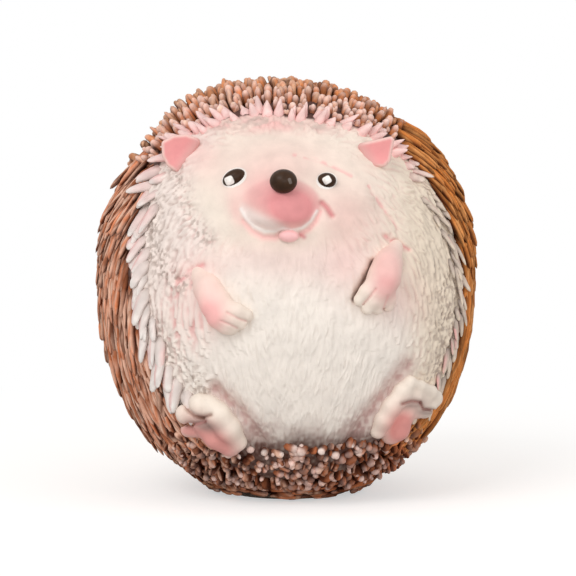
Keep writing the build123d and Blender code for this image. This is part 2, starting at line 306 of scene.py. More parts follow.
def rim_zones(angle):
    """Weights of the top, the left and the bottom of the rim, for each spoke angle."""
    height, level = np.sin(angle), np.cos(angle)
    return smooth(0.66, 0.82, height), smooth(0.2, -0.4, level), smooth(0.62, 0.88, -height)


def coat_start(angle):
    """How far the coat's first roots are ahead of the pale edge, under the pale tips, in millimetres."""
    top, left, bottom = rim_zones(angle)
    return (1 - bottom) * (top * TOP_START + (1 - top) * (SIDE_START + LEFT_START * left))


# Materials
def set_inputs(tree, node, inputs):
    """Sets a shader node's inputs: another node's output is linked, a plain value is kept on the input."""
    for name, value in inputs.items():
        if isinstance(value, bpy.types.NodeSocket):
            tree.links.new(value, node.inputs[name])
        else:
            node.inputs[name].default_value = value


def add_node(tree, kind, inputs=None, operation=None):
    """New shader node with its operation and inputs."""
    node = tree.nodes.new(kind)
    if operation:
        node.operation = operation
    set_inputs(tree, node, inputs or {})
    return node


def paint_material(name, roughness, gloss, grain, bump, coat=0.0):
    """Painted resin: brushed colours with a fine mottle and bump, each given as (scale, strength)."""
    material = bpy.data.materials.new(name)
    material.use_nodes = True
    tree = material.node_tree
    place = add_node(tree, "ShaderNodeTexCoord").outputs["Object"]
    speckle = add_node(tree, "ShaderNodeTexNoise", {"Vector": place, "Scale": grain[0], "Detail": 6.0})
    shade = add_node(tree, "ShaderNodeMapRange", {
        "Value": speckle.outputs["Fac"], "From Min": 0.3, "From Max": 0.7,
        "To Min": 1.0 - grain[1], "To Max": 1.0 + 0.35 * grain[1]})
    paint = add_node(tree, "ShaderNodeVertexColor")
    paint.layer_name = "paint"
    tint = add_node(tree, "ShaderNodeVectorMath",
                    {0: paint.outputs["Color"], "Scale": shade.outputs["Result"]}, "SCALE")
    relief = add_node(tree, "ShaderNodeTexNoise", {"Vector": place, "Scale": bump[0], "Detail": 4.0})
    bumps = add_node(tree, "ShaderNodeBump",
                     {"Height": relief.outputs["Fac"], "Strength": bump[1], "Distance": 0.0002})
    set_inputs(tree, tree.nodes["Principled BSDF"], {
        "Base Color": tint.outputs["Vector"], "Normal": bumps.outputs["Normal"], "Roughness": roughness,
        "Specular IOR Level": gloss, "Coat Weight": coat, "Coat Roughness": 0.12})
    return material


MATERIALS = {
    "belly_cream": paint_material("cream_paint", 0.62, 0.30, (260, 0.10), (1800, 0.35)),
    "spine_brown": paint_material("brown_paint", 0.62, 0.07, (420, 0.25), (1500, 0.55)),
    "skin_pink": paint_material("pink_paint", 0.50, 0.30, (300, 0.07), (1600, 0.22)),
    "eye_black": paint_material("bead_gloss", 0.38, 0.16, (700, 0.35), (900, 0.45), coat=0.03),
    "felt": paint_material("felt", 0.95, 0.10, (900, 0.35), (2600, 0.90)),
}


# Meshes
def add_object(name, data):
    """New object in the scene."""
    made = bpy.data.objects.new(name, data)
    bpy.context.scene.collection.objects.link(made)
    return made


def new_piece(name, points, faces, paint, slot, replaces=()):
    """Painted mesh object from points in millimetres and faces, riding on the body."""
    points = np.reshape(points, (-1, 3))
    mesh = bpy.data.meshes.new(name)
    mesh.from_pydata((points * MM).tolist(), [], [list(map(int, face)) for face in faces])
    mesh.polygons.foreach_set("use_smooth", [True] * len(mesh.polygons))
    rgba = np.ones((len(points), 4), np.float32)
    rgba[:, :3] = np.clip(paint, 0, 1).reshape(-1, 3)
    layer = mesh.color_attributes.new("paint", "FLOAT_COLOR", "POINT")
    layer.data.foreach_set("color", rgba.ravel())
    mesh.update()
    piece = add_object(name, mesh)
    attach(piece, "root")
    if replaces:
        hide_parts(*replaces)
    mesh.materials.append(MATERIALS[slot])
    return piece


def grid_faces(side):
    """Quads of a square grid of points."""
    first = np.arange(side - 1)[:, None] * side + np.arange(side - 1)
    return np.stack([first, first + side, first + side + 1, first + 1], -1).reshape(-1, 4)


def tube_faces(rings, sides):
    """Quads of a tube of stacked rings of points."""
    this = np.arange(rings - 1)[:, None] * sides + np.arange(sides)
    beside = np.roll(this, -1, axis=1)
    return np.stack([beside, this, this + sides, beside + sides], -1).reshape(-1, 4)


def end_rings(rings, sides):
    """Point numbers of the first and the last ring of a tube."""
    first = np.arange(sides)
    return first, first + (rings - 1) * sides


def fan_faces(ring, centre):
    """Triangles from the points of a ring to a centre point."""
    return np.stack([ring, np.roll(ring, -1), np.full(len(ring), centre)], -1)


def disc_grid(steps):
    """Even grid on a disc: radius from 0 to 1 and angle of each point of a square."""
    s = np.linspace(-1, 1, steps + 1)
    a, b = np.meshgrid(s, s, indexing="ij")
    first = np.abs(a) >= np.abs(b)
    safe_a = np.where(a == 0, 1e-12, a)
    safe_b = np.where(b == 0, 1e-12, b)
    radius = np.where(first, np.abs(a), np.abs(b))
    angle = np.where(first, math.pi / 4 * b / safe_a, math.pi / 2 - math.pi / 4 * a / safe_b)
    flip = np.where(first, a < 0, b < 0)
    return radius, angle + np.where(flip, math.pi, 0)


def grid_normals(points):
    """Outward normals of a grid of points."""
    normal = unit(np.cross(np.gradient(points, axis=0), np.gradient(points, axis=1)))
    return normal * np.sign(dot(normal, points - MIDDLE))[..., None]


def blurred(values, reach):
    """Grid values averaged over a square of cells."""
    for axis in (0, 1):
        values = sum(np.roll(values, k, axis) for k in range(-reach, reach + 1)) / (2 * reach + 1)
    return values


# Face: places, sizes and heights of its forms
HEAD_PLACE = (283, 190)
HEAD_SIZE = (118, 92)
HEAD_RISE = 4.2
CHEEK_PLACES = ((222, 212), (346, 212))
CHEEK_SIZE = (36, 34)
CHEEK_RISE = 1.3
MUZZLE = {"place": (281, 204.5), "size": (41, 27.5)}
MUZZLE_RISE = 8.4
MUZZLE_ROUND_ROWS = (222, 198)
MUZZLE_JOIN_ROWS = (216, 186)
BRIDGE_COLUMN = 283
BRIDGE_WIDTH = 22
BRIDGE_RISE = 8.0
BRIDGE_TOP_ROWS = (126, 180)
BRIDGE_END_ROWS = (180, 212)
TONGUE = {"place": (289, 236), "size": (10.5, 6.5)}
TONGUE_RISE = 1.6
LIP_RISE = 0.2
LEFT_EYE = {"place": (234.3, 177.6), "size": (12.2, 8.2), "tilt": 28.0}
RIGHT_EYE = {"place": (326.8, 180.7), "size": (9.6, 7.8), "tilt": 0.0}
NOSE = {"place": (283.6, 181), "size": (13.8, 12.2), "tilt": 0.0}
EYE_SOCKET_SIZE = (17, 14)
EYE_SOCKET_DEPTH = 0.5
EYE_RING = 0.4

# Lines of the front
LIP_LINE = [(241, 209), (246, 219), (254, 227), (265, 231.5), (276, 231), (283, 228.5), (291, 230),
            (302, 228), (311, 221), (317, 211)]
LEFT_MOUTH_LINE = [(244, 221), (252, 231), (263, 237), (275, 237.5), (282, 234)]
RIGHT_MOUTH_LINE = [(300, 234), (309, 229), (316, 221), (320, 212)]
MOUTH_CORNER = [(301, 235), (304, 237)]
SMILE_LINE = [(322, 203), (327, 208), (332, 216)]
BROW_LINE = [(294, 155), (311, 158), (324, 163), (339, 170), (353, 177)]
LEFT_CHEEK_LINE = [(176, 168), (183, 190), (190, 215), (205, 238)]
RIGHT_CHEEK_LINE = [(368, 186), (377, 200), (391, 221), (397, 229)]
LEFT_HOLLOW_LINE = [(147, 205), (156, 245), (164, 272), (182, 284)]
LEFT_LOW_LINE = [(156, 325), (168, 350), (188, 372), (206, 388)]
RIGHT_LOW_LINE = [(446, 285), (446, 325), (438, 362), (428, 392)]
SIDE_HOLLOWS = (LEFT_CHEEK_LINE, LEFT_HOLLOW_LINE, LEFT_LOW_LINE, RIGHT_LOW_LINE)
LEFT_SHOULDER_LINE = [(182, 281), (190, 271), (203, 265)]
RIGHT_SHOULDER_LINE = [(385, 236), (390, 241), (397, 241), (404, 247), (408, 250)]
ARM_GAP_LINE = [(372, 262), (366, 276), (358, 290), (354, 299)]
LEFT_LEG_LINE = [(216, 388), (239, 408), (256, 430), (267, 449)]
RIGHT_LEG_LINE = [(406, 364), (389, 387), (368, 412), (350, 440)]
# Grooves along lines: (line, depth, width)
GROOVES = (
    (RIGHT_MOUTH_LINE, 0.45, 2.4), (SMILE_LINE, 0.7, 3.0), (BROW_LINE, 0.18, 2.0),
    (LEFT_CHEEK_LINE, 0.5, 7.0), (RIGHT_CHEEK_LINE, 0.35, 2.0), (ARM_GAP_LINE, 1.6, 3.5),
    (LEFT_SHOULDER_LINE, 0.5, 3.5), (RIGHT_SHOULDER_LINE, 0.6, 2.6),
    (LEFT_LEG_LINE, 1.0, 6.0), (RIGHT_LEG_LINE, 1.0, 6.0),
)


def face_height(x, y):
    """How far the face stands out of the bare body, towards the viewer."""
    head = HEAD_RISE * (1 - smooth(0.0, 1.0, oval(x, y, HEAD_PLACE, HEAD_SIZE)))
    for cheek in CHEEK_PLACES:
        head = head + CHEEK_RISE * blob(x, y, cheek, CHEEK_SIZE)
    edge = oval(x, y, **MUZZLE)
    muzzle = MUZZLE_RISE * np.clip(1 - edge**2.2, 0, 1) ** (0.5 + 0.7 * smooth(*MUZZLE_ROUND_ROWS, y))
    bridge = BRIDGE_RISE * np.exp(-(((x - BRIDGE_COLUMN) / BRIDGE_WIDTH) ** 2))
    bridge = bridge * smooth(*BRIDGE_TOP_ROWS, y) * (1 - smooth(*BRIDGE_END_ROWS, y))
    tongue = TONGUE_RISE * np.sqrt(np.clip(1 - oval(x, y, **TONGUE) ** 2, 0, 1))
    join = 1.2 + 5.0 * smooth(*MUZZLE_JOIN_ROWS, y)
    height = soft_max(head, soft_max(muzzle, bridge, 4.5), join)
    height = height + LIP_RISE * stroke(x, y, LIP_LINE, 2.2) * (edge < 1.05)
    height = np.maximum(height, (head + tongue + 0.4) * (tongue > 0.02))
    height = height - 0.35 * stroke(x, y, LEFT_MOUTH_LINE, 2.6) * (tongue < 0.02)
    for line, depth, width in GROOVES:
        height = height - depth * stroke(x, y, line, width)
    for eye in (LEFT_EYE, RIGHT_EYE):
        height = height - EYE_SOCKET_DEPTH * blob(x, y, eye["place"], EYE_SOCKET_SIZE)
    return height


# Front of the body: a disc of points laid on the skin and raised into the head
FRONT_STEPS = 500
FRONT_TUCK = 2.0


def raised_front():
    """Points, normals and photo places of the front without fur, and how far each is ahead of the coat."""
    radius, angle = disc_grid(FRONT_STEPS)
    last = np.maximum(rim_tip(angle), edge_tip(angle)) + FRONT_TUCK / BODY_RADIUS
    points, _ = skin(ray_at(radius * last, angle))
    ahead = (edge_tip(angle) - radius * last) * BODY_RADIUS - coat_start(angle)
    x, y = to_pixels(points)
    points = points + unit(CAMERA - points) * face_height(x, y)[..., None]
    return points, grid_normals(points), x, y, ahead


front, front_normal, front_x, front_y, front_ahead = raised_front()


def surface_at(place):
    """Point of the raised front under a photo place."""
    k = np.argmin((front_x - place[0]) ** 2 + (front_y - place[1]) ** 2)
    return front.reshape(-1, 3)[k]


def key_point(place, stand):
    """Point that stands in front of the raised front, towards the viewer, under a photo place."""
    point = surface_at(place)
    return point + unit(CAMERA - point) * stand


# Fur: where it parts, where it falls straight down, and the regions of the front
FUR_CENTRE = (283, 195)
FALL_ROW = 200
FALL_RANGE = (-200, 260)
FALL_PIXELS = 70
STRAIGHT_ROWS = (240, 330)
STRAIGHT_REACH = (150, 90)
BARE_SIZE = (98, 62)
BELLY_PLACE = (292, 345)
BELLY_SIZE = (118, 112)
BELLY_TOP_ROWS = (228, 262)
LEFT_ROUGH_COLUMNS = (208, 172)
RIGHT_ROUGH_COLUMNS = (392, 432)
ROUGH_ROWS = (140, 170)
BROW_TUFT_ROWS = (146, 134)
# Soft spots of (weight, place, size)
RAGGED_SPOTS = ((1.0, (178, 358), (24, 34)), (0.8, (436, 350), (18, 44)))
LOCK_SPOTS = ((1.0, (184, 312), (20, 36)), (0.6, (414, 292), (14, 36)))
CALM_SPOTS = ((1.0, MUZZLE["place"], (50, 38)), (1.0, NOSE["place"], (22, 22)),
              (1.0, LEFT_EYE["place"], (18, 15)), (1.0, RIGHT_EYE["place"], (18, 15)))
# Carved strokes: region, count, ranges of length, width and rise, and how far they stray
TUFTS = (
    ("face", 1500, (1.5, 2.6), (0.22, 0.34), (0.04, 0.08), 0.22),
    ("belly", 1900, (3.0, 6.5), (0.36, 0.70), (0.20, 0.46), 0.22),
    ("side", 1500, (2.4, 5.0), (0.40, 0.80), (0.20, 0.45), 0.28),
    ("rough", 520, (2.2, 4.6), (0.50, 0.95), (0.40, 0.85), 0.40),
    ("ragged", 190, (1.6, 3.4), (0.45, 0.85), (0.50, 1.10), 0.50),
    ("lock", 70, (5.0, 8.0), (0.80, 1.15), (0.70, 1.10), 0.16),
    ("brow", 240, (2.2, 4.4), (0.45, 0.80), (0.35, 0.80), 0.30),
)


def fur_heading(x, y):
    """Photo direction in which the fur lies: out from the face, bending down the sides and the belly."""
    out_x, out_y = x - FUR_CENTRE[0], y - FUR_CENTRE[1]
    reach = np.hypot(out_x, out_y) + 1e-6
    fall = 0.35 * np.exp(np.clip(y - FALL_ROW, *FALL_RANGE) / FALL_PIXELS)
    straight = smooth(*STRAIGHT_ROWS, y) * smooth(*STRAIGHT_REACH, np.abs(x - CENTRE_PIXEL[0]))
    return out_x / reach * (1 - 0.85 * straight), out_y / reach + fall + 1.5 * straight


def window_at(points, cell, reach):
    """Square of grid cells round one cell, the offsets of its points from that one, and its place."""
    i, j = divmod(int(cell), points.shape[1])
    window = np.s_[max(i - reach, 0):i + reach + 1, max(j - reach, 0):j + reach + 1]
    return window, points[window] - points[i, j], (i, j)


def lay_tufts(height, weight, count, length, width, rise, stray):
    """Raises a count of carved fur strokes on the front, spread by weight, with ranges of their sizes."""
    cells = rng.choice(weight.size, count, p=(weight / weight.sum()).ravel())
    across, along = fur_heading(front_x.ravel()[cells], front_y.ravel()[cells])
    turn = rng.normal(0, stray, count)
    c, s = np.cos(turn), np.sin(turn)
    heading = (across * c - along * s)[:, None] * VIEW_RIGHT - (across * s + along * c)[:, None] * VIEW_UP
    lengths, widths, rises = (rng.uniform(*span, count) for span in (length, width, rise))
    step = np.linalg.norm(front[FRONT_STEPS // 2, 1] - front[FRONT_STEPS // 2, 0])
    for k in range(count):
        window, q, at = window_at(front, cells[k], int(lengths[k] * 0.62 / step) + 2)
        n = front_normal[at]
        t = tangent(heading[k], n)
        s_along = np.clip(q @ t / lengths[k] + 0.5, 0, 1)
        half = 1.35 * widths[k] * np.minimum(4 * s_along, 1) ** 0.7 * (1 - s_along) ** 0.55 + 1e-6
        profile = np.clip(1 - ((q @ np.cross(n, t)) / half) ** 2, 0, 1) ** 0.9
        height[window] = np.maximum(height[window], profile * rises[k] * (0.15 + 0.85 * s_along))


def front_weights(x, y):
    """Regions of the front: bare face, belly and sides."""
    bare = 1 - smooth(0.75, 1.15, oval(x, y, HEAD_PLACE, BARE_SIZE))
    belly = smooth(1.25, 0.85, oval(x, y, BELLY_PLACE, BELLY_SIZE)) * (1 - bare)
    belly = belly * smooth(*BELLY_TOP_ROWS, y)
    return bare, belly, np.clip(1 - bare - belly, 0, 1)


def front_fur(x, y):
    """Height of the carved fur all over the front."""
    bare, belly, side = front_weights(x, y)
    rough = side * np.maximum(smooth(*LEFT_ROUGH_COLUMNS, x), 0.8 * smooth(*RIGHT_ROUGH_COLUMNS, x))
    rough = rough * smooth(*ROUGH_ROWS, y)
    regions = {
        "face": bare + 0.02,
        "belly": belly + 0.05 * side,
        "side": side,
        "rough": rough,
        "ragged": (1 - bare) * largest_blob(x, y, RAGGED_SPOTS),
        "lock": (1 - bare) * largest_blob(x, y, LOCK_SPOTS),
        "brow": side * smooth(*BROW_TUFT_ROWS, y),
    }
    height = np.zeros(x.shape)
    for region, *tufts in TUFTS:
        lay_tufts(height, regions[region], *tufts)
    crevice = (1 - bare) * largest_stroke(x, y, SIDE_HOLLOWS, 9.0)
    height = height + (0.35 * rough + 0.5 * crevice) * (mottle(front, 0.9) - 0.6)
    calm = np.clip(1.5 * largest_blob(x, y, CALM_SPOTS), 0, 1)
    return blurred(height, 1) * (1 - 0.95 * calm)


# Paint of the front
COARSE_LUMP = 2.2
FINE_LUMP = 0.8
PEARL_COLUMNS = (235, 195)
STRAW_COLUMNS = (365, 425)
BAND_ROWS = (139, 124)
# Airbrushed spots: (colour, weight, place, size, tilt); the two mauve ones are painted shade under the chin
# and on the right cheek
FRONT_SPOTS = (
    (LEG_MAUVE * 1.4, 0.36, (300, 262), (62, 24), 0), (LEG_MAUVE * 1.4, 0.30, (362, 216), (30, 32), 0),
    (BLUSH, 0.38, (278, 165), (58, 30), 0), (BLUSH, 0.30, (262, 182), (20, 15), 0),
    (BLUSH, 0.34, (338, 212), (26, 24), 0), (BLUSH, 0.34, (346, 262), (24, 34), 0),
    (BLUSH, 0.26, (194, 304), (24, 40), 0), (BLUSH, 0.26, (203, 268), (22, 10), 0),
    (BLUSH, 0.28, (398, 300), (26, 26), 0), (BLUSH, 0.16, (240, 255), (40, 16), 0),
    (BLUSH, 0.30, (205, 158), (18, 22), 0), (BLUSH, 0.45, (236, 212), (7, 16), 15),
)
MUZZLE_BLUSH = (BLUSH, 0.75, (262, 195), (26, 17), 10)
MUZZLE_ROSE = {"place": (291, 206), "size": (31, 23), "tilt": -10}
# The muzzle's pale lower left lies below a slanting line
PALE_ROWS = (199, 213)
PALE_FIRST_COLUMN = 243
PALE_SLANT = 0.5
PALE_END_COLUMNS = (300, 272)
SMILE_END_ROWS = (222, 214)
# Painted lines: (colour, weight, line, width, how far the line is broken); the brown one in the gap beside
# the right arm is painted shade
PAINTED_LINES = (
    (BLUSH, 0.7, BROW_LINE, 1.8, 1.0), (BLUSH * 0.9, 0.8, RIGHT_CHEEK_LINE, 1.8, 1.0),
    (ROSE * 0.95, 0.7, LEFT_SHOULDER_LINE, 2.8, 0.6), (ROSE * 0.95, 0.7, RIGHT_SHOULDER_LINE, 2.8, 0.6),
    (BROWN_WASH_AND_SHADE, 0.9, ARM_GAP_LINE, 2.4, 0.0),
)
# Spots of painted shade beside the feet, low on the belly: (place, size)
LEG_SHADE_SPOTS = (((256, 440), (18, 17)), ((360, 436), (17, 20)))
# The belly darkens towards the bottom over these rows, with a ragged edge, and turns brown lowest
LOW_ROWS = (414, 448)
LOW_STRAY = 14
BROWNEST_ROWS = (432, 452)
# Where the hollows between the locks on the left get pink painted shade
LOCK_SHADE_SPOT = {"place": (186, 306), "size": (24, 34)}
# Columns towards which the fur's hollows get more wash and painted shade, and where they turn browner
LEFT_WASH_AND_SHADE_COLUMNS = (215, 150)
RIGHT_WASH_AND_SHADE_COLUMNS = (385, 440)
BROWN_WASH_AND_SHADE_COLUMNS = (420, 460)
BELOW_ROWS = (400, 425)


def base_paint(points, x, y):
    """Cream of the front with its airbrushed blush, mauve painted shade under the chin and on the right
    cheek, and a pink band mottled grey under the spines of the brow.
    """
    _, belly, side = front_weights(x, y)
    paint = lay(CREAM, (WHITE, 0.8 * belly), (PEARL, 0.7 * smooth(*PEARL_COLUMNS, x) * side),
                (STRAW, 0.45 * smooth(*STRAW_COLUMNS, x) * side))
    band = smooth(*BAND_ROWS, y)
    blush = 0.35 + 0.45 * smooth(0.35, 0.75, mottle(points, COARSE_LUMP))
    grey = 0.6 * smooth(0.45, 0.80, mottle(points, 1.5))
    return lay(airbrush(paint, x, y, FRONT_SPOTS), (BLUSH, blush * band), (GREY_WASH_AND_SHADE * 1.4, grey * band))


def face_paint(paint, points, x, y):
    """Rosy muzzle with pale lips, tongue and smile, broken lines, and white rings round the eyes."""
    edge = oval(x, y, **MUZZLE)
    rosy = smooth(1.05, 0.90, edge) * np.clip(1.5 * blob(x, y, **MUZZLE_ROSE), 0, 1)
    # Pale lower left of the muzzle: partly its own pale paint, partly painted light that lifts the shade of
    # its downward-facing side
    pale = smooth(*PALE_ROWS, y - PALE_SLANT * (x - PALE_FIRST_COLUMN)) * smooth(*PALE_END_COLUMNS, x)
    # Pink mouth lines under the lip: the mouth's paint and painted shade under the muzzle
    mouth = np.maximum(stroke(x, y, LEFT_MOUTH_LINE, 4.0), stroke(x, y, RIGHT_MOUTH_LINE, 3.2))
    paint = lay(
        airbrush(paint, x, y, [MUZZLE_BLUSH], 1.2),
        (ROSE, 0.95 * rosy),
        (PEARL, 0.85 * smooth(1.05, 0.92, edge) * pale),
        (BLUSH, 0.75 * mouth * (edge > 0.97)),
        (CHALK, 0.8 * stroke(x, y, LIP_LINE, 1.7)),
        (TONGUE_PINK, smooth(1.1, 0.8, oval(x, y, **TONGUE))),
        (ROSE * 0.8, 0.8 * stroke(x, y, MOUTH_CORNER, 2.4)),
        (ROSE * 0.85, 0.9 * stroke(x, y, SMILE_LINE, 3.0) * smooth(*SMILE_END_ROWS, y)),
    )
    broken = smooth(0.30, 0.60, mottle(points, 1.3))
    for colour, weight, line, width, share in PAINTED_LINES:
        paint = mix(paint, colour, weight * stroke(x, y, line, width) * (1 - share + share * broken))
    for eye in (LEFT_EYE, RIGHT_EYE):
        ring = oval(x, y, eye["place"], np.add(eye["size"], EYE_RING), eye["tilt"])
        paint = mix(paint, CHALK, smooth(1.08, 1.0, ring))
    return paint


def front_paint(points, x, y, ahead, fur):
    """Airbrushed colours of the front: cream and pink blush, wash and painted shade in the hollows, painted
    shade by the legs and under the coat's edge, and a belly that darkens towards the bottom.
    """
    bare, _, side = front_weights(x, y)
    coarse, fine = mottle(points, COARSE_LUMP), mottle(points, FINE_LUMP)
    paint = face_paint(base_paint(points, x, y), points, x, y)
    # Painted shade along the legs where they meet the belly, and in spots beside the feet
    for line in (LEFT_LEG_LINE, RIGHT_LEG_LINE):
        paint = mix(paint, LEG_MAUVE, stroke(x, y, line, 8.5) * (0.51 + 0.34 * smooth(0.2, 0.8, fine)))
    for place, size in LEG_SHADE_SPOTS:
        paint = mix(paint, LEG_MAUVE * 0.8, 0.85 * blob(x, y, place, size) * smooth(0.1, 0.6, fine))
    # Darker towards the bottom of the belly: grey and mauve, brown lowest
    low = smooth(*LOW_ROWS, y + LOW_STRAY * (coarse - 0.5))
    low_darkening = mix(mix(GREY_WASH_AND_SHADE, MAUVE, coarse), BROWN_WASH_AND_SHADE * 0.6, smooth(*BROWNEST_ROWS, y))
    # Pink painted shade in the hollows between the locks on the left
    lock_hollow_shade = np.clip((blurred(fur, 9) - fur) / 0.25, 0, 1) * np.clip(1.5 * blob(x, y, **LOCK_SHADE_SPOT), 0, 1)
    # Dark specks of painted shade in the pits along the side hollows
    pit_shade_specks = largest_stroke(x, y, SIDE_HOLLOWS, 11.0) * smooth(0.50, 0.72, mottle(points, 0.6))
    # Wash and painted shade in the fur's hollows, stronger at the sides, under the brow and low down
    hollow = np.clip((blurred(fur, 4) - fur) / 0.20, 0, 1)
    ends = np.maximum(smooth(*LEFT_WASH_AND_SHADE_COLUMNS, x), smooth(*RIGHT_WASH_AND_SHADE_COLUMNS, x))
    rim_wash_and_shade = np.maximum(ends, 0.8 * smooth(*BAND_ROWS, y)) * side
    wash_and_shade = np.clip(0.15 + 0.70 * rim_wash_and_shade * (0.4 + 0.6 * coarse) + 0.5 * low, 0, 0.95)
    tone = mix(GREY_WASH_AND_SHADE, BROWN_WASH_AND_SHADE, np.maximum(low, 0.6 * smooth(*BROWN_WASH_AND_SHADE_COLUMNS, x)))
    below = smooth(*BELOW_ROWS, y)
    # Near-black painted shade where the front runs under the coat, reaching further out between the knobs
    # below
    bottom_gap_shade = smooth(3.0, -2.5, ahead) * (0.5 + 0.5 * fine)
    return lay(
        paint,
        (low_darkening, low * (0.5 + 0.5 * fine)),
        (BLUSH * 0.95, 0.9 * lock_hollow_shade * (1 - bare)),
        (mix(GREY_WASH_AND_SHADE, BROWN_WASH_AND_SHADE, 0.6 * fine), 0.65 * pit_shade_specks * (1 - bare)),
        (tone, hollow * wash_and_shade * (1 - bare)),
        # Pink painted shade in the hollows of the other side fur
        (BLUSH * 0.9, 0.5 * hollow * (1 - rim_wash_and_shade) * side),
        (CREVICE_SHADE, 0.95 * (smooth(-0.9, -1.8, ahead) * (1 - below) + bottom_gap_shade * below)),
    )


def belly():
    """Front of the body with its carved fur and paint."""
    fur = front_fur(front_x, front_y)
    points = front + front_normal * fur[..., None]
    paint = front_paint(points, front_x, front_y, front_ahead, fur)
    new_piece("belly", points, grid_faces(FRONT_STEPS + 1), paint, "belly_cream", replaces=["belly_shell"])


# Spines: rings along each one, from its root to its tip
SPINE_SIDES = 8
RING_PLACE = np.array([0.0, 0.2, 0.42, 0.64, 0.82, 0.94])
BLUNT_RINGS = np.array([0.84, 0.95, 1.0, 1.02, 0.94, 0.66])
SHARP_RINGS = np.array([1.05, 0.98, 0.82, 0.58, 0.34, 0.15])
RING_STRAY = 0.06
SWAY = 0.05
TIP_FLOOR = 0.35
SPINE_SINK = 0.8
LYING_LIFT = 0.45
ROOT_TAPER = 0.6
SHORTEST_SPINE = 1.8
BOX_RETREAT = 1.6


def spine_mesh(root, normal, flow, lean, length, width, flat, bend, sharp):
    """Points and faces of closed, rounded spines that follow the skin, with each point's place along its
    spine, how far it faces out of the skin, and how far it lies on the spine's upper flank."""
    count, rings = len(root), len(RING_PLACE)
    axis = np.cos(lean)[:, None] * normal + np.sin(lean)[:, None] * flow
    tip = root + length[:, None] * axis
    over = np.maximum(tip - BOX_HIGH, BOX_LOW - tip).max(axis=1) + width / 2
    length = np.maximum(length - BOX_RETREAT * np.clip(over, 0, None), SHORTEST_SPINE)
    lying = np.sin(lean) ** 2
    above = tangent(normal, axis)
    beside = np.cross(axis, above)
    sway = rng.normal(0, SWAY, count)
    curve = sway[:, None] * beside - (bend + lying * length / (2 * BODY_RADIUS))[:, None] * above
    start = root + normal * (LYING_LIFT * lying - SPINE_SINK * (1 - lying))[:, None]
    t = RING_PLACE[None, :, None]
    middle = start[:, None] + length[:, None, None] * (t * axis[:, None] + t**2 * curve[:, None])
    angle = np.arange(SPINE_SIDES) * 2 * math.pi / SPINE_SIDES
    ring = (np.cos(angle)[None, :, None] * beside[:, None]
            + flat[:, None, None] * np.sin(angle)[None, :, None] * above[:, None])
    size = BLUNT_RINGS[None] * (1 - sharp[:, None]) + SHARP_RINGS[None] * sharp[:, None]
    size[:, 0] = size[:, 0] * (1 - ROOT_TAPER * lying)
    size = size * rng.normal(1, RING_STRAY, (count, rings)) * width[:, None] / 2
    points = middle[:, :, None] + size[:, :, None, None] * ring[:, None]
    tip = start + length[:, None] * (axis + curve)
    points = np.concatenate([points.reshape(count, -1, 3), tip[:, None], start[:, None]], axis=1)
    points[..., 2] = np.maximum(points[..., 2], TIP_FLOOR)
    along = np.concatenate([np.repeat(RING_PLACE, SPINE_SIDES), [1.0, 0.0]])
    outer = np.concatenate([np.tile(np.sin(angle), rings), [0.5, 0.0]])
    flank = np.concatenate([np.tile(np.cos(angle), rings), [0.0, 0.0]])[None] * np.sign(beside[:, 2:])
    first_ring, last_ring = end_rings(rings, SPINE_SIDES)
    tip_point = rings * SPINE_SIDES
    caps = np.concatenate([fan_faces(last_ring[::-1], tip_point), fan_faces(first_ring, tip_point + 1)])
    starts = np.arange(count)[:, None, None] * (tip_point + 2)
    quads = tube_faces(rings, SPINE_SIDES)
    faces = list((quads + starts).reshape(-1, 4)) + list((caps + starts).reshape(-1, 3))
    return points, faces, along, outer, flank


def spine_paint(along, outer, dark, body, tip, tip_weight, brush, brush_weight):
    """Colours of spines: dark with painted shade at the root and flanks, dry-brushed along the top, paler at
    the tip.
    """
    upper = np.clip(outer, 0, 1)
    paint = mix(dark, body, smooth(0.0, 0.35, along) * (0.08 + 0.92 * upper))
    paint = mix(paint, tip, smooth(0.55, 0.95, along) * tip_weight)
    streak = smooth(0.2, 0.7, rng.random(paint.shape[:2]))
    paint = mix(paint, brush, brush_weight * upper**1.5 * smooth(0.05, 0.45, along) * streak)
    return paint * rng.uniform(0.85, 1.12, paint.shape[:2])[..., None]


# Coat: pitch of its roots and limits of its zones
COAT_PITCH = 2.15
FINE_PITCH = 1.55
COAT_HEM = 1.6
ROOT_STRAY = 0.014
FIRST_ROOT = 0.3
FINE_LOWEST = -0.72
PART_LINE = 0.33
# Spines by zone: lean in degrees from upright, length, width and flatness
PEG = np.array([14, 3.9, 1.75, 0.95])
FINE_PEG = np.array([14, 3.9, 1.5, 0.95])
STRAND = np.array([83, 10.5, 1.7, 0.9])
FINE_STRAND = np.array([86, 10.5, 1.2, 1.4])
BELOW = np.array([84, 8.0, 1.8, 0.7])
BEHIND = np.array([79, 8.5, 2.1, 0.75])
KNOB = np.array([20, 2.9, 1.7])
# Added to these: to pegs away from the pale edge and towards the right, to upper strands, and at the hem
PEG_SETTLED = np.array([50, 2.0, 0, 0])
PEG_SLANTED = np.array([13, -0.9, 0, 0])
STRAND_UPPER = np.array([-7, 0, 0, 0])
BEHIND_HEM = np.array([7, 0, 0, 0])


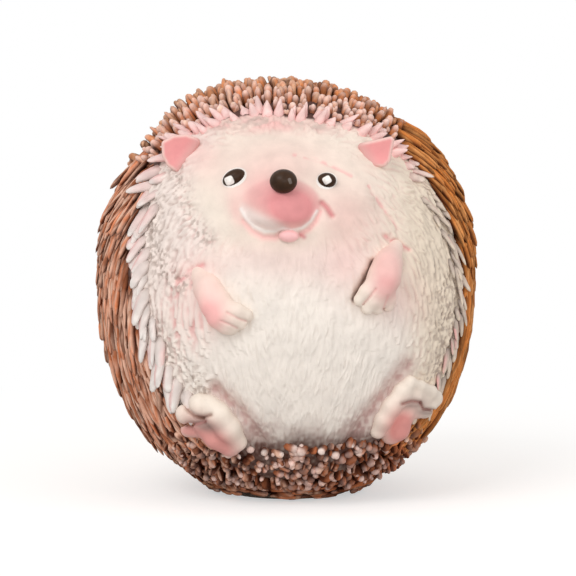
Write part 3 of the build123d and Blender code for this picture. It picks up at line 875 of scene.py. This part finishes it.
def coat_places(pitch):
    """Roots of the brown coat: an even spiral over the body behind the pale edge, jittered."""
    total = int(4 * math.pi * BODY_RADIUS * UPPER_REACH / pitch**2)
    k = np.arange(total) + 0.5
    tip = np.arccos(1 - 2 * k / total) + rng.normal(0, ROOT_STRAY, total)
    angle = k * math.pi * (1 + math.sqrt(5)) + rng.normal(0, ROOT_STRAY, total)
    behind = (tip - edge_tip(angle)) * BODY_RADIUS
    root, normal = skin(ray_at(tip, angle))
    height, level = np.sin(angle), np.cos(angle)
    right = (level > 0.42) & (behind < 24) & (height > FINE_LOWEST)
    below = (height < FINE_LOWEST) & (behind < 15)
    crown = (height > 0.62) & (behind < 6)
    fine = right | below | crown
    keep = (behind > FIRST_ROOT - coat_start(angle)) & (root[:, 2] > COAT_HEM)
    keep = keep & (fine == (pitch == FINE_PITCH))
    return [values[keep] for values in (root, normal, behind, angle, fine)]


def coat_zones(root, behind, angle, fine):
    """Weights of the zones that each spine is in, as columns."""
    count = len(root)
    height, level = np.sin(angle), np.cos(angle)
    _, _, bottom = rim_zones(angle)
    crown = smooth(0.58, 0.84, height) * smooth(0.62, 0.42, level)
    peg = (crown > rng.uniform(0.1, 0.9, count)).astype(float)
    knob = (bottom * smooth(17, 13, behind) > rng.uniform(0.3, 0.7, count)).astype(float)
    settle = smooth(0, 9, behind)
    weights = {
        "fine": fine,
        "peg": peg,
        "side": 1 - peg - bottom,
        "upper": smooth(0.2, 0.5, height),
        "bottom": bottom,
        "knob": knob,
        "far": smooth(13, 28, behind),
        "low": smooth(24, 9, root[:, 2]) * smooth(1.5, 5.0, root[:, 2]) * (1 - knob),
        "hem": smooth(6.0, 3.0, root[:, 2]),
        "settle": settle,
        "slant": settle * (np.clip(root[:, 0] / 20, -1, 1) + 0.8 * smooth(-18, -28, root[:, 0])),
    }
    return SimpleNamespace(**{name: weight[:, None] for name, weight in weights.items()})


def coat_flow(root, normal, angle, zone):
    """Directions in which the spines lie: back over the head, down round the rim, back and down behind."""
    back = tangent(-FACING[None], normal)
    down = tangent(np.array([[0, 0, -1.0]]), normal)
    round_rim = -np.sin(angle)[:, None] * SIDE + np.cos(angle)[:, None] * RISE
    fall = tangent(round_rim * -np.sign(np.cos(angle))[:, None], normal)
    around = tangent(np.cross(normal, [0, 0, 1.0]) * np.sign(root[:, :1]), normal)
    rest = zone.side + zone.bottom
    flow = (back * (zone.peg + 0.1 * rest) + fall * rest) * (1 - zone.far) + (back + 0.8 * down) * zone.far
    flow = flow * (1 - zone.hem) + around * zone.hem
    return tangent(flow + rng.normal(0, 0.08, flow.shape), normal)


def coat_shape(root, normal, angle, zone):
    """Root, normal, flow, lean, length, width, flatness, bend and sharpness of each spine."""
    fine, knob = zone.fine, zone.knob
    flow = coat_flow(root, normal, angle, zone)
    peg = np.where(fine, FINE_PEG, PEG) + zone.settle * PEG_SETTLED + zone.slant * PEG_SLANTED
    strand = np.where(fine, FINE_STRAND, STRAND) + zone.upper * STRAND_UPPER
    near = zone.peg * peg + zone.side * strand + zone.bottom * BELOW
    look = near * (1 - zone.far) + (BEHIND + zone.hem * BEHIND_HEM) * zone.far
    lean, length, width = np.split(look[:, :3] * (1 - knob) + KNOB * knob, 3, axis=1)
    smaller = 1 - 0.35 * zone.low
    lean = np.radians(lean) + rng.normal(0, np.where(fine, 0.02, 0.038) + 0.33 * knob)
    length = length * rng.uniform(0.75, 1.2, knob.shape) * smaller * (1 - 0.4 * zone.hem)
    width = width * rng.uniform(0.72 - 0.15 * knob, 1.25 + 0.15 * knob) * smaller
    flat = look[:, 3:] + knob * rng.uniform(-0.1, 0.5, knob.shape)
    bend = rng.normal(0.0, 0.02, knob.shape)
    sharp = 0.1 * zone.peg + 0.35 * zone.side + 0.3 * zone.far - 0.1 * knob
    sharp = np.clip(sharp + rng.normal(0, 0.12 + 0.25 * knob), 0, 1)
    sizes = (values.ravel() for values in (lean, length, width, flat, bend, sharp))
    return root - normal * (0.5 * zone.low), normal, flow, *sizes


def coat_paint(root, normal, behind, zone):
    """Painted-shade dark, body, tip and dry-brush colours of each spine, the last two with their weights."""
    peg, knob, settle, bottom = zone.peg, zone.knob, zone.settle, zone.bottom
    behind = behind[:, None]
    right = smooth(-0.2, 0.5, normal[:, :1])
    ochre = np.maximum(right * (1 - bottom) * (1 - 0.5 * peg), 0.5 * np.maximum(peg * settle, zone.far))
    strength = rng.uniform(np.where(zone.fine, 0.4, 0.25), 1.6 - 0.6 * knob)
    body = mix(SPINE_BROWN, SPINE_OCHRE, ochre) * strength[..., None]
    brush = mix(DRY_BRUSH, OCHRE_BRUSH, ochre)
    tip = mix(brush, PINK_TIP, np.maximum(peg * (1 - 0.5 * settle), bottom))
    tip = mix(tip, PALE_TIP, knob * smooth(6.0, 1.0, behind) * rng.uniform(0.3, 1.0, knob.shape))
    midway = np.exp(-(((root[:, :1] - 2) / 12) ** 2))
    pale_knob = knob * (rng.random(knob.shape) < 0.12 + 0.6 * midway * smooth(11, 5, behind))
    tip_weight = 0.12 + 0.88 * peg * (1 - 0.55 * settle) + 0.8 * pale_knob
    tip_weight = tip_weight + rng.normal(0, 0.15 + 0.2 * knob)
    # The dry brush is heaviest on the left: partly the coat's paint, partly painted light on the side the
    # light comes from
    brush_weight = 1.25 - 0.7 * right - 0.35 * zone.far - 0.6 * bottom - 0.5 * peg
    brush_weight = brush_weight + rng.normal(0, 0.5, knob.shape)
    # Near-black painted shade for the roots and flanks of the spines
    dark = CREVICE_SHADE * rng.uniform(0.6, 1.4, knob.shape)[..., None]
    return dark, body, tip, np.clip(tip_weight, 0, 1), brush, np.clip(brush_weight, 0, 1)


def spine_coat():
    """The coat in three pieces: pegs on top, strands at the sides, knobs below, swept spines behind."""
    runs = zip(coat_places(COAT_PITCH), coat_places(FINE_PITCH))
    root, normal, behind, angle, fine = (np.concatenate(pair) for pair in runs)
    zone = coat_zones(root, behind, angle, fine)
    shape = coat_shape(root, normal, angle, zone)
    colours = coat_paint(root, normal, behind, zone)
    left, right = normal[:, 0] < -PART_LINE, normal[:, 0] > PART_LINE
    for name, pick in (("coat_left", left), ("coat_right", right), ("coat_middle", ~(left | right))):
        points, faces, along, outer, _ = spine_mesh(*(values[pick] for values in shape))
        paint = spine_paint(along, outer, *(values[pick] for values in colours))
        new_piece(name, points, faces, paint, "spine_brown")


# Skin under the coat
UNDERCOAT_STEPS = 120
UNDERCOAT_SINK = 0.3


def undercoat():
    """Skin under the coat, near-black with painted shade between the spines, from just ahead of the pale edge
    back and round the flat base.
    """
    radius, angle = disc_grid(UNDERCOAT_STEPS)
    first = np.maximum(rim_tip(angle), edge_tip(angle)) - FRONT_TUCK / 2 / BODY_RADIUS
    points, normal = skin(ray_at(math.pi - radius * (math.pi - first), angle))
    points = points - normal * UNDERCOAT_SINK
    points[..., 2] = np.maximum(points[..., 2], BASE_HEIGHT)
    # Near-black painted shade, the dark seen between the spines
    paint = CREVICE_SHADE * rng.uniform(1.6, 3.0, radius.shape)[..., None]
    faces = grid_faces(UNDERCOAT_STEPS + 1)[:, ::-1]
    new_piece("undercoat", points, faces, paint, "spine_brown", replaces=["back_shell"])


# Rows of pale spines: the zone of the rim, the pitch, how far the row is ahead of the first, and a shift
FRINGE_ROWS = (("top", 2.4, 0.0, 0.0), ("top", 3.3, 1.3, 0.5), ("left", 3.2, 0.0, 0.0),
               ("left", 3.6, 2.2, 0.5), ("right", 2.5, 0.0, 0.0), ("right", 2.5, 2.4, 0.5))
FRINGE_STRAY = 0.016
TOP_HEIGHT = 0.74
FRINGE_LOWEST = -0.74
ROW_RISE = 0.045
FRINGE_START = 3.2
LEFT_FRINGE_START = 3.4
# Spikes on top and locks at the sides: lean, length, width, flatness, sharpness and lift off the skin
SPIKE = np.array([40, 4.3, 2.8, 0.6, 0.95, 0.5])
LOCK = np.array([77, 5.0, 2.0, 0.42, 0.5, 0.35])
LEFT_LOCK_ADDED = np.array([0, 2.2, 1.1, 0, 0, 0])


def fringe_row(zone, pitch, row, shift):
    """Roots of one row of pale spines, so far ahead of the pale edge that the first row's tips end there."""
    count = int(2 * math.pi * BODY_RADIUS / pitch)
    angle = (np.arange(count) + shift) * 2 * math.pi / count + rng.normal(0, FRINGE_STRAY, count)
    height, level = np.sin(angle), np.cos(angle)
    keep = height > TOP_HEIGHT
    if zone != "top":
        keep = ~keep & (height > FRINGE_LOWEST + ROW_RISE * row) & ((level < 0) == (zone == "left"))
    angle = angle[keep]
    top, left, _ = rim_zones(angle)
    ahead = row + top * TOP_START + (1 - top) * (FRINGE_START + LEFT_FRINGE_START * left)
    ahead = ahead + rng.normal(0, 0.6, len(angle))
    root, normal = skin(ray_at(edge_tip(angle) - ahead / BODY_RADIUS, angle))
    return root, normal, angle


def pale_fringe():
    """Pale spines where the fur meets the coat: pink spikes on top and long flat locks down the sides."""
    rows = [fringe_row(*row) for row in FRINGE_ROWS]
    root, normal, angle = (np.concatenate(values) for values in zip(*rows))
    count = len(root)
    top, left, _ = (weight[:, None] for weight in rim_zones(angle))
    side = 1 - top
    across, along = fur_heading(*to_pixels(root))
    flow = tangent(across[:, None] * VIEW_RIGHT - along[:, None] * VIEW_UP, normal)
    flow = tangent(flow + rng.normal(0, 0.15, (count, 3)), normal)
    look = top * SPIKE + side * (LOCK + left * LEFT_LOCK_ADDED)
    lean, length, width, flat, sharp, lift = look.T
    lean = np.radians(lean) + rng.normal(0, 0.06, count)
    length = length * rng.uniform(0.60, 1.25, count)
    width = width * rng.uniform(0.70, 1.2, count)
    bend = rng.normal(0.0, 0.02, count)
    sharp = np.clip(sharp + rng.normal(0, 0.15, count), 0, 1)
    pink = smooth(0.2, 0.8, rng.random((count, 1)))
    rosy = np.maximum(top, 0.8 * smooth(0.1, 0.5, np.sin(angle)[:, None]) * left)
    body = mix(mix(PALE_TIP, STRAW, 0.6 * side), mix(PEARL, CHALK, 0.6), left)
    body = mix(body, BLUSH, 0.05 + 0.5 * rosy)
    body = mix(body, GREY_WASH_AND_SHADE * 1.4, side * (0.6 - 0.5 * left) * rng.random((count, 1)))
    tip = mix(mix(CHALK, mix(BLUSH, WHITE, 0.5), top), STRAW, 0.8 * side * (1 - left))
    # Grey painted shade at the roots and flanks of the locks, pink at the roots of the spikes on top
    dark = mix(mix(GREY_WASH_AND_SHADE, PEARL, 0.35 * left), BLUSH, 0.9 * top)
    root = root + normal * lift[:, None]
    shape = (root, normal, flow, lean, length, width, flat, bend, sharp)
    points, faces, place, outer, flank = spine_mesh(*shape)
    paint = spine_paint(place, outer, dark, body, tip, 0.8, body, 0.0)
    paint = mix(paint, BLUSH, 0.9 * pink * side * smooth(0.2, 0.9, flank) * smooth(0.1, 0.4, place))
    new_piece("fringe", points, faces, paint, "belly_cream")


# Limbs and ears: distance fields meshed into closed skins
FIELD_STEP = 0.28
FIELD_MARGIN = 5.0
SLOPE_STEP = 0.02


def capsule(p, a, b, radius_a, radius_b):
    """Distance from a bar with round ends and a radius that changes along it."""
    ab = b - a
    t = np.clip((p - a) @ ab / (ab @ ab), 0, 1)
    return np.linalg.norm(p - a - t[:, None] * ab, axis=1) - (radius_a + t * (radius_b - radius_a))


def chain(p, marks, k):
    """Distance from bars through (x, y, stand, radius) marks, joined softly."""
    ends = [(key_point((x, y), stand), radius) for x, y, stand, radius in marks]
    total = None
    for (a, ra), (b, rb) in zip(ends[:-1], ends[1:]):
        part = capsule(p, a, b, ra, rb)
        total = part if total is None else soft_min(total, part, k)
    return total


def slopes(field, points):
    """Steepest directions of a field at points, by small differences."""
    steps = np.eye(3) * SLOPE_STEP
    return np.stack([field(points + e) - field(points - e) for e in steps], -1) / (2 * SLOPE_STEP)


def field_mesh(field, low, high, step):
    """Points and outward faces of the closed skin where a distance field is zero."""
    axes = [np.arange(a, b + step, step) for a, b in zip(low, high)]
    cells = np.stack(np.meshgrid(*axes, indexing="ij"), -1)
    values = field(cells.reshape(-1, 3)).reshape(cells.shape[:3])
    volume = openvdb.FloatGrid(5 * step)
    volume.copyFromArray(values.astype(np.float64))
    points, quads = volume.convertToQuads(0.0)
    points = np.asarray(points) * step + low
    for _ in range(2):
        slope = slopes(field, points)
        points = points - (field(points) / np.maximum(dot(slope, slope), 0.2))[:, None] * slope
    faces = np.asarray(quads)
    corner = points[faces]
    facing = np.cross(corner[:, 2] - corner[:, 0], corner[:, 3] - corner[:, 1])
    if np.sum(facing * slopes(field, points)[faces[:, 0]]) < 0:
        faces = faces[:, ::-1]
    return points, faces


# Each limb: how softly its parts join, bars through (x, y, stand, radius) marks, fingers or toes of such
# marks, creases of (places, depth, width), and airbrushed spots of (colour, weight, place, size, tilt); the
# mauve spots on the feet are painted shade between and under the toes
LIMBS = {
    "left_arm": {
        "blend": 0.8,
        "marks": [(201, 273, -2.6, 2.3), (208, 289, 0.7, 2.7), (215, 302, 1.8, 3.0), (221, 314, 1.8, 3.1)],
        "fingers": [[(224, 309, 2.0, 2.0), (237, 312, 1.7, 1.8), (246, 315, 1.0, 1.5)],
                    [(222, 315, 2.0, 2.0), (233, 319, 1.7, 1.8), (240, 323, 1.0, 1.5)],
                    [(218, 319, 1.9, 2.0), (226, 325, 1.6, 1.8), (231, 328, 1.0, 1.5)]],
        "creases": [([(227, 312.5), (239, 319), (246, 321)], 0.28, 1.4),
                    ([(221, 321), (231, 325), (237, 328)], 0.25, 1.4)],
        "spots": [(ARM_PINK, 0.38, (206, 296), (22, 30), 0), (ARM_PINK, 0.95, (210, 314), (13, 17), 25),
                  (LEG_MAUVE, 0.15, (238, 320), (16, 11), 0)],
    },
    "right_arm": {
        "blend": 0.8,
        "marks": [(393, 248, -2.4, 2.2), (388, 264, 0.8, 2.8), (384, 277, 1.9, 3.2), (379, 289, 2.0, 3.1)],
        "fingers": [[(378, 280, 2.3, 1.7), (367, 292, 2.1, 1.6), (360, 300, 1.3, 1.35)],
                    [(379, 288, 2.4, 1.7), (373, 300, 2.1, 1.6), (368, 308, 1.3, 1.35)],
                    [(382, 290, 2.2, 1.7), (380, 301, 1.9, 1.6), (378, 308, 1.2, 1.35)],
                    [(386, 288, 1.9, 1.7), (388, 298, 1.6, 1.6), (388, 305, 1.1, 1.35)]],
        "creases": [([(376, 289), (368, 299), (363, 304)], 0.35, 1.4), ([(388, 296), (383, 309)], 0.30, 1.4)],
        "spots": [(ARM_PINK * 0.87, 0.70, (388, 270), (18, 28), 0), (ROSE, 0.42, (386, 287), (13, 14), 0)],
    },
    "left_foot": {
        "blend": 1.0,
        "marks": [(237, 441, 0.4, 2.2), (228, 428, 1.8, 2.5), (217, 415, 2.3, 2.6), (209, 407, 2.0, 2.5)],
        "fingers": [[(207, 406, 2.8, 2.2), (199.5, 405, 3.9, 2.5)],
                    [(197, 415, 1.8, 1.9), (186, 414, 2.6, 2.2)],
                    [(205, 429, 1.0, 1.9), (188, 430, 0.9, 1.6)],
                    [(206, 424, 1.3, 2.7), (217, 435, 1.0, 3.0), (230, 445, 0.4, 2.5)]],
        "creases": [([(185, 403), (188, 410), (195, 416), (203, 417.5), (211, 415)], 0.7, 2.2),
                    ([(188, 424), (198, 424), (206, 421)], 0.5, 2.0)],
        "spots": [(SOLE_PINK, 0.95, (214, 441), (31, 13), -40), (SOLE_PINK, 0.85, (190, 431), (12, 6), 0),
                  (MAUVE * 0.8, 0.8, (203, 425), (14, 6), -20)],
    },
    "right_foot": {
        "blend": 1.4,
        "marks": [(378, 430, 0.4, 1.8), (384, 419, 1.2, 1.8), (392, 406, 1.6, 1.8), (402, 391, 1.4, 1.6),
                  (409, 382, 0.8, 1.0)],
        "fingers": [[(410, 382, 1.1, 1.0), (420, 386, 1.7, 1.2), (430, 392, 2.4, 1.5), (434, 398, 3.0, 1.8),
                     (430, 404, 3.4, 1.7)],
                    [(403, 398, 1.2, 2.1), (413, 398, 1.0, 2.0), (422, 402, 1.1, 1.7)],
                    [(411, 411, 1.0, 1.8), (424, 411, 1.2, 1.5), (433, 410, 1.7, 1.2)],
                    [(403, 412, 1.2, 2.5), (396, 428, 0.9, 2.9), (391, 433, 0.6, 2.4)]],
        "creases": [([(402, 404), (411, 401), (420, 402)], 0.6, 1.8),
                    ([(420, 403), (423, 409), (433, 410)], 0.6, 1.6)],
        "spots": [(SOLE_PINK, 1.0, (401, 428), (22, 15), 62), (MAUVE, 0.8, (414, 404), (11, 5), 5),
                  (MAUVE * 0.8, 0.7, (426, 412), (9, 3.5), 0)],
    },
}
BAR_JOIN = 1.5
FINGER_JOIN = 0.6


def limb(name, blend, marks, fingers, creases, spots):
    """Arm or foot with its fingers or toes, sunk into the front, airbrushed, with painted shade in its
    creases.
    """
    def crease_weights(p):
        x, y = to_pixels(p)
        return [(depth, stroke(x, y, places, width)) for places, depth, width in creases]

    def field(p):
        body = chain(p, marks, BAR_JOIN)
        for finger in fingers:
            body = soft_min(body, chain(p, finger, FINGER_JOIN), blend)
        return body + sum(depth * weight for depth, weight in crease_weights(p))

    ends = [key_point((x, y), stand) for run in [marks, *fingers] for x, y, stand, _ in run]
    low, high = np.min(ends, axis=0) - FIELD_MARGIN, np.max(ends, axis=0) + FIELD_MARGIN
    points, faces = field_mesh(field, low, high, FIELD_STEP)
    paint = airbrush(CREAM, *to_pixels(points), spots, 1.3)
    # Painted shade in the creases, browner where they are deeper
    for depth, weight in crease_weights(points):
        tone = mix(ROSE, BROWN_WASH_AND_SHADE, smooth(0.3, 0.8, depth))
        paint = mix(paint, tone, (0.3 + 0.45 * smooth(0.2, 0.7, depth)) * weight**2)
    new_piece(name, points, faces, paint, "skin_pink", replaces=[name])


# Ears: corners of the outline, and the tip and root that give the direction
EAR_THICKNESS = 1.5
EAR_ROUNDING = 0.9
EAR_STEP = 0.2
EAR_BOX = 9.0
EARS = {
    "left_ear": {
        "corners": [(166, 144.5), (175, 139.5), (186, 138.5), (196, 142), (188, 154), (177, 167.5),
                    (170.5, 163), (166.5, 155)],
        "tip": (164, 141),
        "root": (188, 156),
    },
    "right_ear": {
        "corners": [(389.5, 141), (362, 147), (367, 156), (374, 162.5), (382, 163), (386, 159)],
        "tip": (393, 138),
        "root": (367, 156),
    },
}


def ear(name, corners, tip, root):
    """Cupped ear with a pale rolled edge, rooted in the head."""
    middle = surface_at(root)
    flat = (np.array(corners) - root) * pixel_size(middle) * [1, -1]
    outward = unit(np.array([tip[0] - root[0], root[1] - tip[1]]))
    turn = np.sign(np.linalg.det([flat[1] - flat[0], flat[2] - flat[0]]))

    def local(p):
        q = p - middle
        return q @ VIEW_RIGHT, q @ VIEW_UP, q @ TO_CAMERA

    def outline(u, v):
        edges = zip(flat, np.roll(flat, -1, axis=0) - flat)
        sides = [turn * (du * (v - a[1]) - dv * (u - a[0])) for a, (du, dv) in edges]
        nearest = line_distance(u, v, [*flat, flat[0]])
        return np.where(np.min(sides, axis=0) > 0, -nearest, nearest) - EAR_ROUNDING

    def reach_of(u, v):
        return u * outward[0] + v * outward[1]

    def plate(u, v):
        reach, across = reach_of(u, v), v * outward[0] - u * outward[1]
        return -0.3 + 0.05 * reach + 0.05 * across**2 + 0.045 * np.clip(reach, 0, None) ** 2

    def field(p):
        u, v, w = local(p)
        return soft_max(np.abs(w - plate(u, v)) * 0.8 - EAR_THICKNESS / 2, outline(u, v), 0.9)

    points, faces = field_mesh(field, middle - EAR_BOX, middle + EAR_BOX, EAR_STEP)
    u, v, _ = local(points)
    depth, reach = outline(u, v), reach_of(u, v)
    edge = smooth(-0.9, -0.2, depth) * smooth(-0.5, 1.5, reach)
    # Deeper rose inside, a pale rim, and grey painted shade towards the root
    paint = lay(EAR_PINK, (ROSE * 0.95, 0.4 * smooth(-1.2, -3.0, depth)),
                (mix(CREAM, BLUSH, 0.45), 0.8 * edge),
                (GREY_WASH_AND_SHADE * 1.3, 0.4 * smooth(2.2, -0.6, reach)))
    new_piece(name, points, faces, paint, "skin_pink", replaces=[name])


# Eyes and nose: oval, depth, how far the middle stands out, and a painted glint with its strength
BEAD_ROWS = 90
BEAD_COLUMNS = 120
BEAD_POLE = 0.01
BEADS = {
    "left_eye": (LEFT_EYE, 1.6, 0.1, {"place": (229.3, 180.7), "size": (4.3, 4.3), "tilt": 25}, 1.0),
    "right_eye": (RIGHT_EYE, 1.6, 0.1, {"place": (327, 180), "size": (4.0, 3.8), "tilt": 30}, 1.0),
    "nose": (NOSE, 2.4, 0.6, {"place": (290, 181), "size": (1.6, 3.0), "tilt": 20}, 0.10),
}


def bead(name, shape, depth, stand, glint, strength):
    """Glossy oval bead that faces the viewer, with a painted glint."""
    centre = key_point(shape["place"], stand)
    wide, high = np.multiply(shape["size"], pixel_size(centre))
    tilt = math.radians(shape["tilt"])
    lift = np.linspace(BEAD_POLE, math.pi - BEAD_POLE, BEAD_ROWS)[:, None, None]
    turn = np.linspace(0, 2 * math.pi, BEAD_COLUMNS, endpoint=False)[None, :, None]
    facing = unit(CAMERA - centre)
    right = tangent(VIEW_RIGHT, facing)
    up = np.cross(facing, right)
    long_axis = math.cos(tilt) * right + math.sin(tilt) * up
    short_axis = math.cos(tilt) * up - math.sin(tilt) * right
    ring = wide * np.cos(turn) * long_axis + high * np.sin(turn) * short_axis
    points = (centre + np.sin(lift) * ring + depth * np.cos(lift) * facing).reshape(-1, 3)
    square = oval(*to_pixels(points), **glint, power=4)
    in_front = (points - centre) @ facing > 0.1
    paint = mix(BEAD_BROWN, CHALK, strength * smooth(1.12, 0.92, square) * in_front)
    first_ring, last_ring = end_rings(BEAD_ROWS, BEAD_COLUMNS)
    faces = [*tube_faces(BEAD_ROWS, BEAD_COLUMNS), first_ring, last_ring[::-1]]
    new_piece(name, points, faces, paint, "eye_black", replaces=[name])


# Pad: inner rings of each face, and the inset and height of the rings of its rounded edge
PAD_RADIUS = 13.5
PAD_TOP = 1.2
PAD_COLUMNS = 240
PAD_INNER = (6.0, 11.0)
PAD_EDGE = ((0.6, 0.0), (0.15, 0.15), (0.0, 0.45), (0.0, 0.8), (0.15, 1.1), (0.6, PAD_TOP))
FUZZY_RADIUS = 12.0


def felt_pad():
    """Felt disc under the base with a soft, slightly fuzzy edge."""
    profile = [(r, 0.0) for r in PAD_INNER] + [(PAD_RADIUS - inset, z) for inset, z in PAD_EDGE]
    profile = profile + [(r, PAD_TOP) for r in PAD_INNER[::-1]]
    radius, height = np.array(profile).T[..., None]
    turn = np.linspace(0, 2 * math.pi, PAD_COLUMNS, endpoint=False)
    fuzz = np.minimum(rng.normal(-0.06, 0.05, (len(radius), PAD_COLUMNS)), 0) * (radius > FUZZY_RADIUS)
    reach = radius + fuzz
    rings = np.stack([reach * np.cos(turn), reach * np.sin(turn), height + 0 * reach], -1)
    points = np.concatenate([rings.reshape(-1, 3), [[0, 0, 0.0], [0, 0, PAD_TOP]]])
    first_ring, last_ring = end_rings(len(radius), PAD_COLUMNS)
    caps = [*fan_faces(first_ring[::-1], len(points) - 2), *fan_faces(last_ring, len(points) - 1)]
    faces = [*tube_faces(len(radius), PAD_COLUMNS)[:, ::-1], *caps]
    paint = FELT_BROWN * rng.uniform(0.75, 1.15, len(points))[:, None]
    pad = new_piece("pad", points, faces, paint, "felt", replaces=["base_pad"])


belly()
undercoat()
spine_coat()
pale_fringe()
for limb_name, limb_plan in LIMBS.items():
    limb(limb_name, **limb_plan)
for ear_name, ear_plan in EARS.items():
    ear(ear_name, **ear_plan)
for bead_name, bead_plan in BEADS.items():
    bead(bead_name, *bead_plan)
felt_pad()


# Camera and light
LAMP_AIM = np.array([0, 0, 0.045])
# Lamps: place and size in metres, and power
LAMPS = {
    "key": ((-0.45, -0.75, 0.70), 0.55, 4.1),
    "low": ((0.10, -0.90, 0.14), 0.50, 1.6),
    "fill": ((0.70, -0.60, 0.30), 0.80, 1.5),
}
AMBIENT = {"Color": (1, 0.97, 0.94, 1), "Strength": 0.60}


def photo_camera():
    """Camera that gives the photo's frame."""
    data = bpy.data.cameras.new("camera")
    data.sensor_width = SENSOR
    data.lens = SENSOR * FOCAL_PIXELS / FRAME_PIXELS
    data.shift_x = (FRAME_PIXELS / 2 - CENTRE_PIXEL[0]) / FRAME_PIXELS
    data.shift_y = -(FRAME_PIXELS / 2 - CENTRE_PIXEL[1]) / FRAME_PIXELS
    data.clip_start = 0.01
    camera = add_object("camera", data)
    camera.location = CAMERA * MM
    camera.rotation_euler = (math.radians(90 - VIEW_LIFT), 0, 0)
    bpy.context.scene.camera = camera


def area_light(name, place, size, power):
    """Soft square lamp that looks at the object."""
    data = bpy.data.lights.new(name, "AREA")
    data.energy = power
    data.size = size
    lamp = add_object(name, data)
    back = unit(np.array(place) - LAMP_AIM)
    lamp.location = place
    lamp.rotation_euler = (math.acos(back[2]), 0, math.atan2(back[1], back[0]) + math.pi / 2)


def studio_world():
    """Plain white to look at and in reflections, with a softer warm light on what it falls on."""
    world = bpy.data.worlds.new("studio")
    bpy.context.scene.world = world
    world.use_nodes = True
    tree = world.node_tree
    backdrop = tree.nodes["Background"]
    set_inputs(tree, backdrop, {"Color": (1, 1, 1, 1), "Strength": 1.0})
    ambient = add_node(tree, "ShaderNodeBackground", AMBIENT)
    ray = add_node(tree, "ShaderNodeLightPath").outputs
    mirrored = add_node(tree, "ShaderNodeMath",
                        {0: ray["Is Glossy Ray"], 1: ray["Is Transmission Ray"]}, "MAXIMUM")
    direct = add_node(tree, "ShaderNodeMath",
                      {0: ray["Is Camera Ray"], 1: mirrored.outputs["Value"]}, "MAXIMUM")
    seen = add_node(tree, "ShaderNodeMixShader", {
        "Fac": direct.outputs["Value"],
        1: ambient.outputs["Background"],
        2: backdrop.outputs["Background"]})
    set_inputs(tree, tree.nodes["World Output"], {"Surface": seen.outputs["Shader"]})


# Floor: half its side and the radii over which it turns plain white, in metres
FLOOR_HALF = 6.0
FLOOR_FADE = {"From Min": 0.07, "From Max": 0.20}
FLOOR_COLOUR = (0.66, 0.65, 0.64, 1)
FLOOR_GLOW = 0.52


def pale_floor():
    """Pale lit floor that keeps the object's shadow near it and is plain white far from it."""
    corners = [(x, y, 0) for x, y in FLOOR_HALF * np.array([(-1, -1), (1, -1), (1, 1), (-1, 1)])]
    mesh = bpy.data.meshes.new("floor")
    mesh.from_pydata(corners, [], [(0, 1, 2, 3)])
    floor = add_object("floor", mesh)
    material = bpy.data.materials.new("floor")
    material.use_nodes = True
    tree = material.node_tree
    tree.nodes.remove(tree.nodes["Principled BSDF"])
    lit = add_node(tree, "ShaderNodeBsdfDiffuse", {"Color": FLOOR_COLOUR}).outputs["BSDF"]
    glow = add_node(tree, "ShaderNodeEmission", {"Strength": FLOOR_GLOW}).outputs["Emission"]
    near = add_node(tree, "ShaderNodeAddShader", {0: lit, 1: glow}).outputs["Shader"]
    white = add_node(tree, "ShaderNodeEmission", {"Strength": 1.0}).outputs["Emission"]
    place = add_node(tree, "ShaderNodeNewGeometry").outputs["Position"]
    reach = add_node(tree, "ShaderNodeVectorMath", {0: place}, "LENGTH").outputs["Value"]
    fade = add_node(tree, "ShaderNodeMapRange", {"Value": reach, **FLOOR_FADE}).outputs["Result"]
    shown = add_node(tree, "ShaderNodeMixShader", {"Fac": fade, 1: near, 2: white}).outputs["Shader"]
    ray = add_node(tree, "ShaderNodeLightPath").outputs["Is Camera Ray"]
    by_ray = add_node(tree, "ShaderNodeMixShader", {"Fac": ray, 1: lit, 2: shown}).outputs["Shader"]
    set_inputs(tree, tree.nodes["Material Output"], {"Surface": by_ray})
    mesh.materials.append(material)


photo_camera()
for lamp_name, lamp_plan in LAMPS.items():
    area_light(lamp_name, *lamp_plan)
studio_world()
pale_floor()
bpy.context.scene.view_settings.view_transform = "Standard"
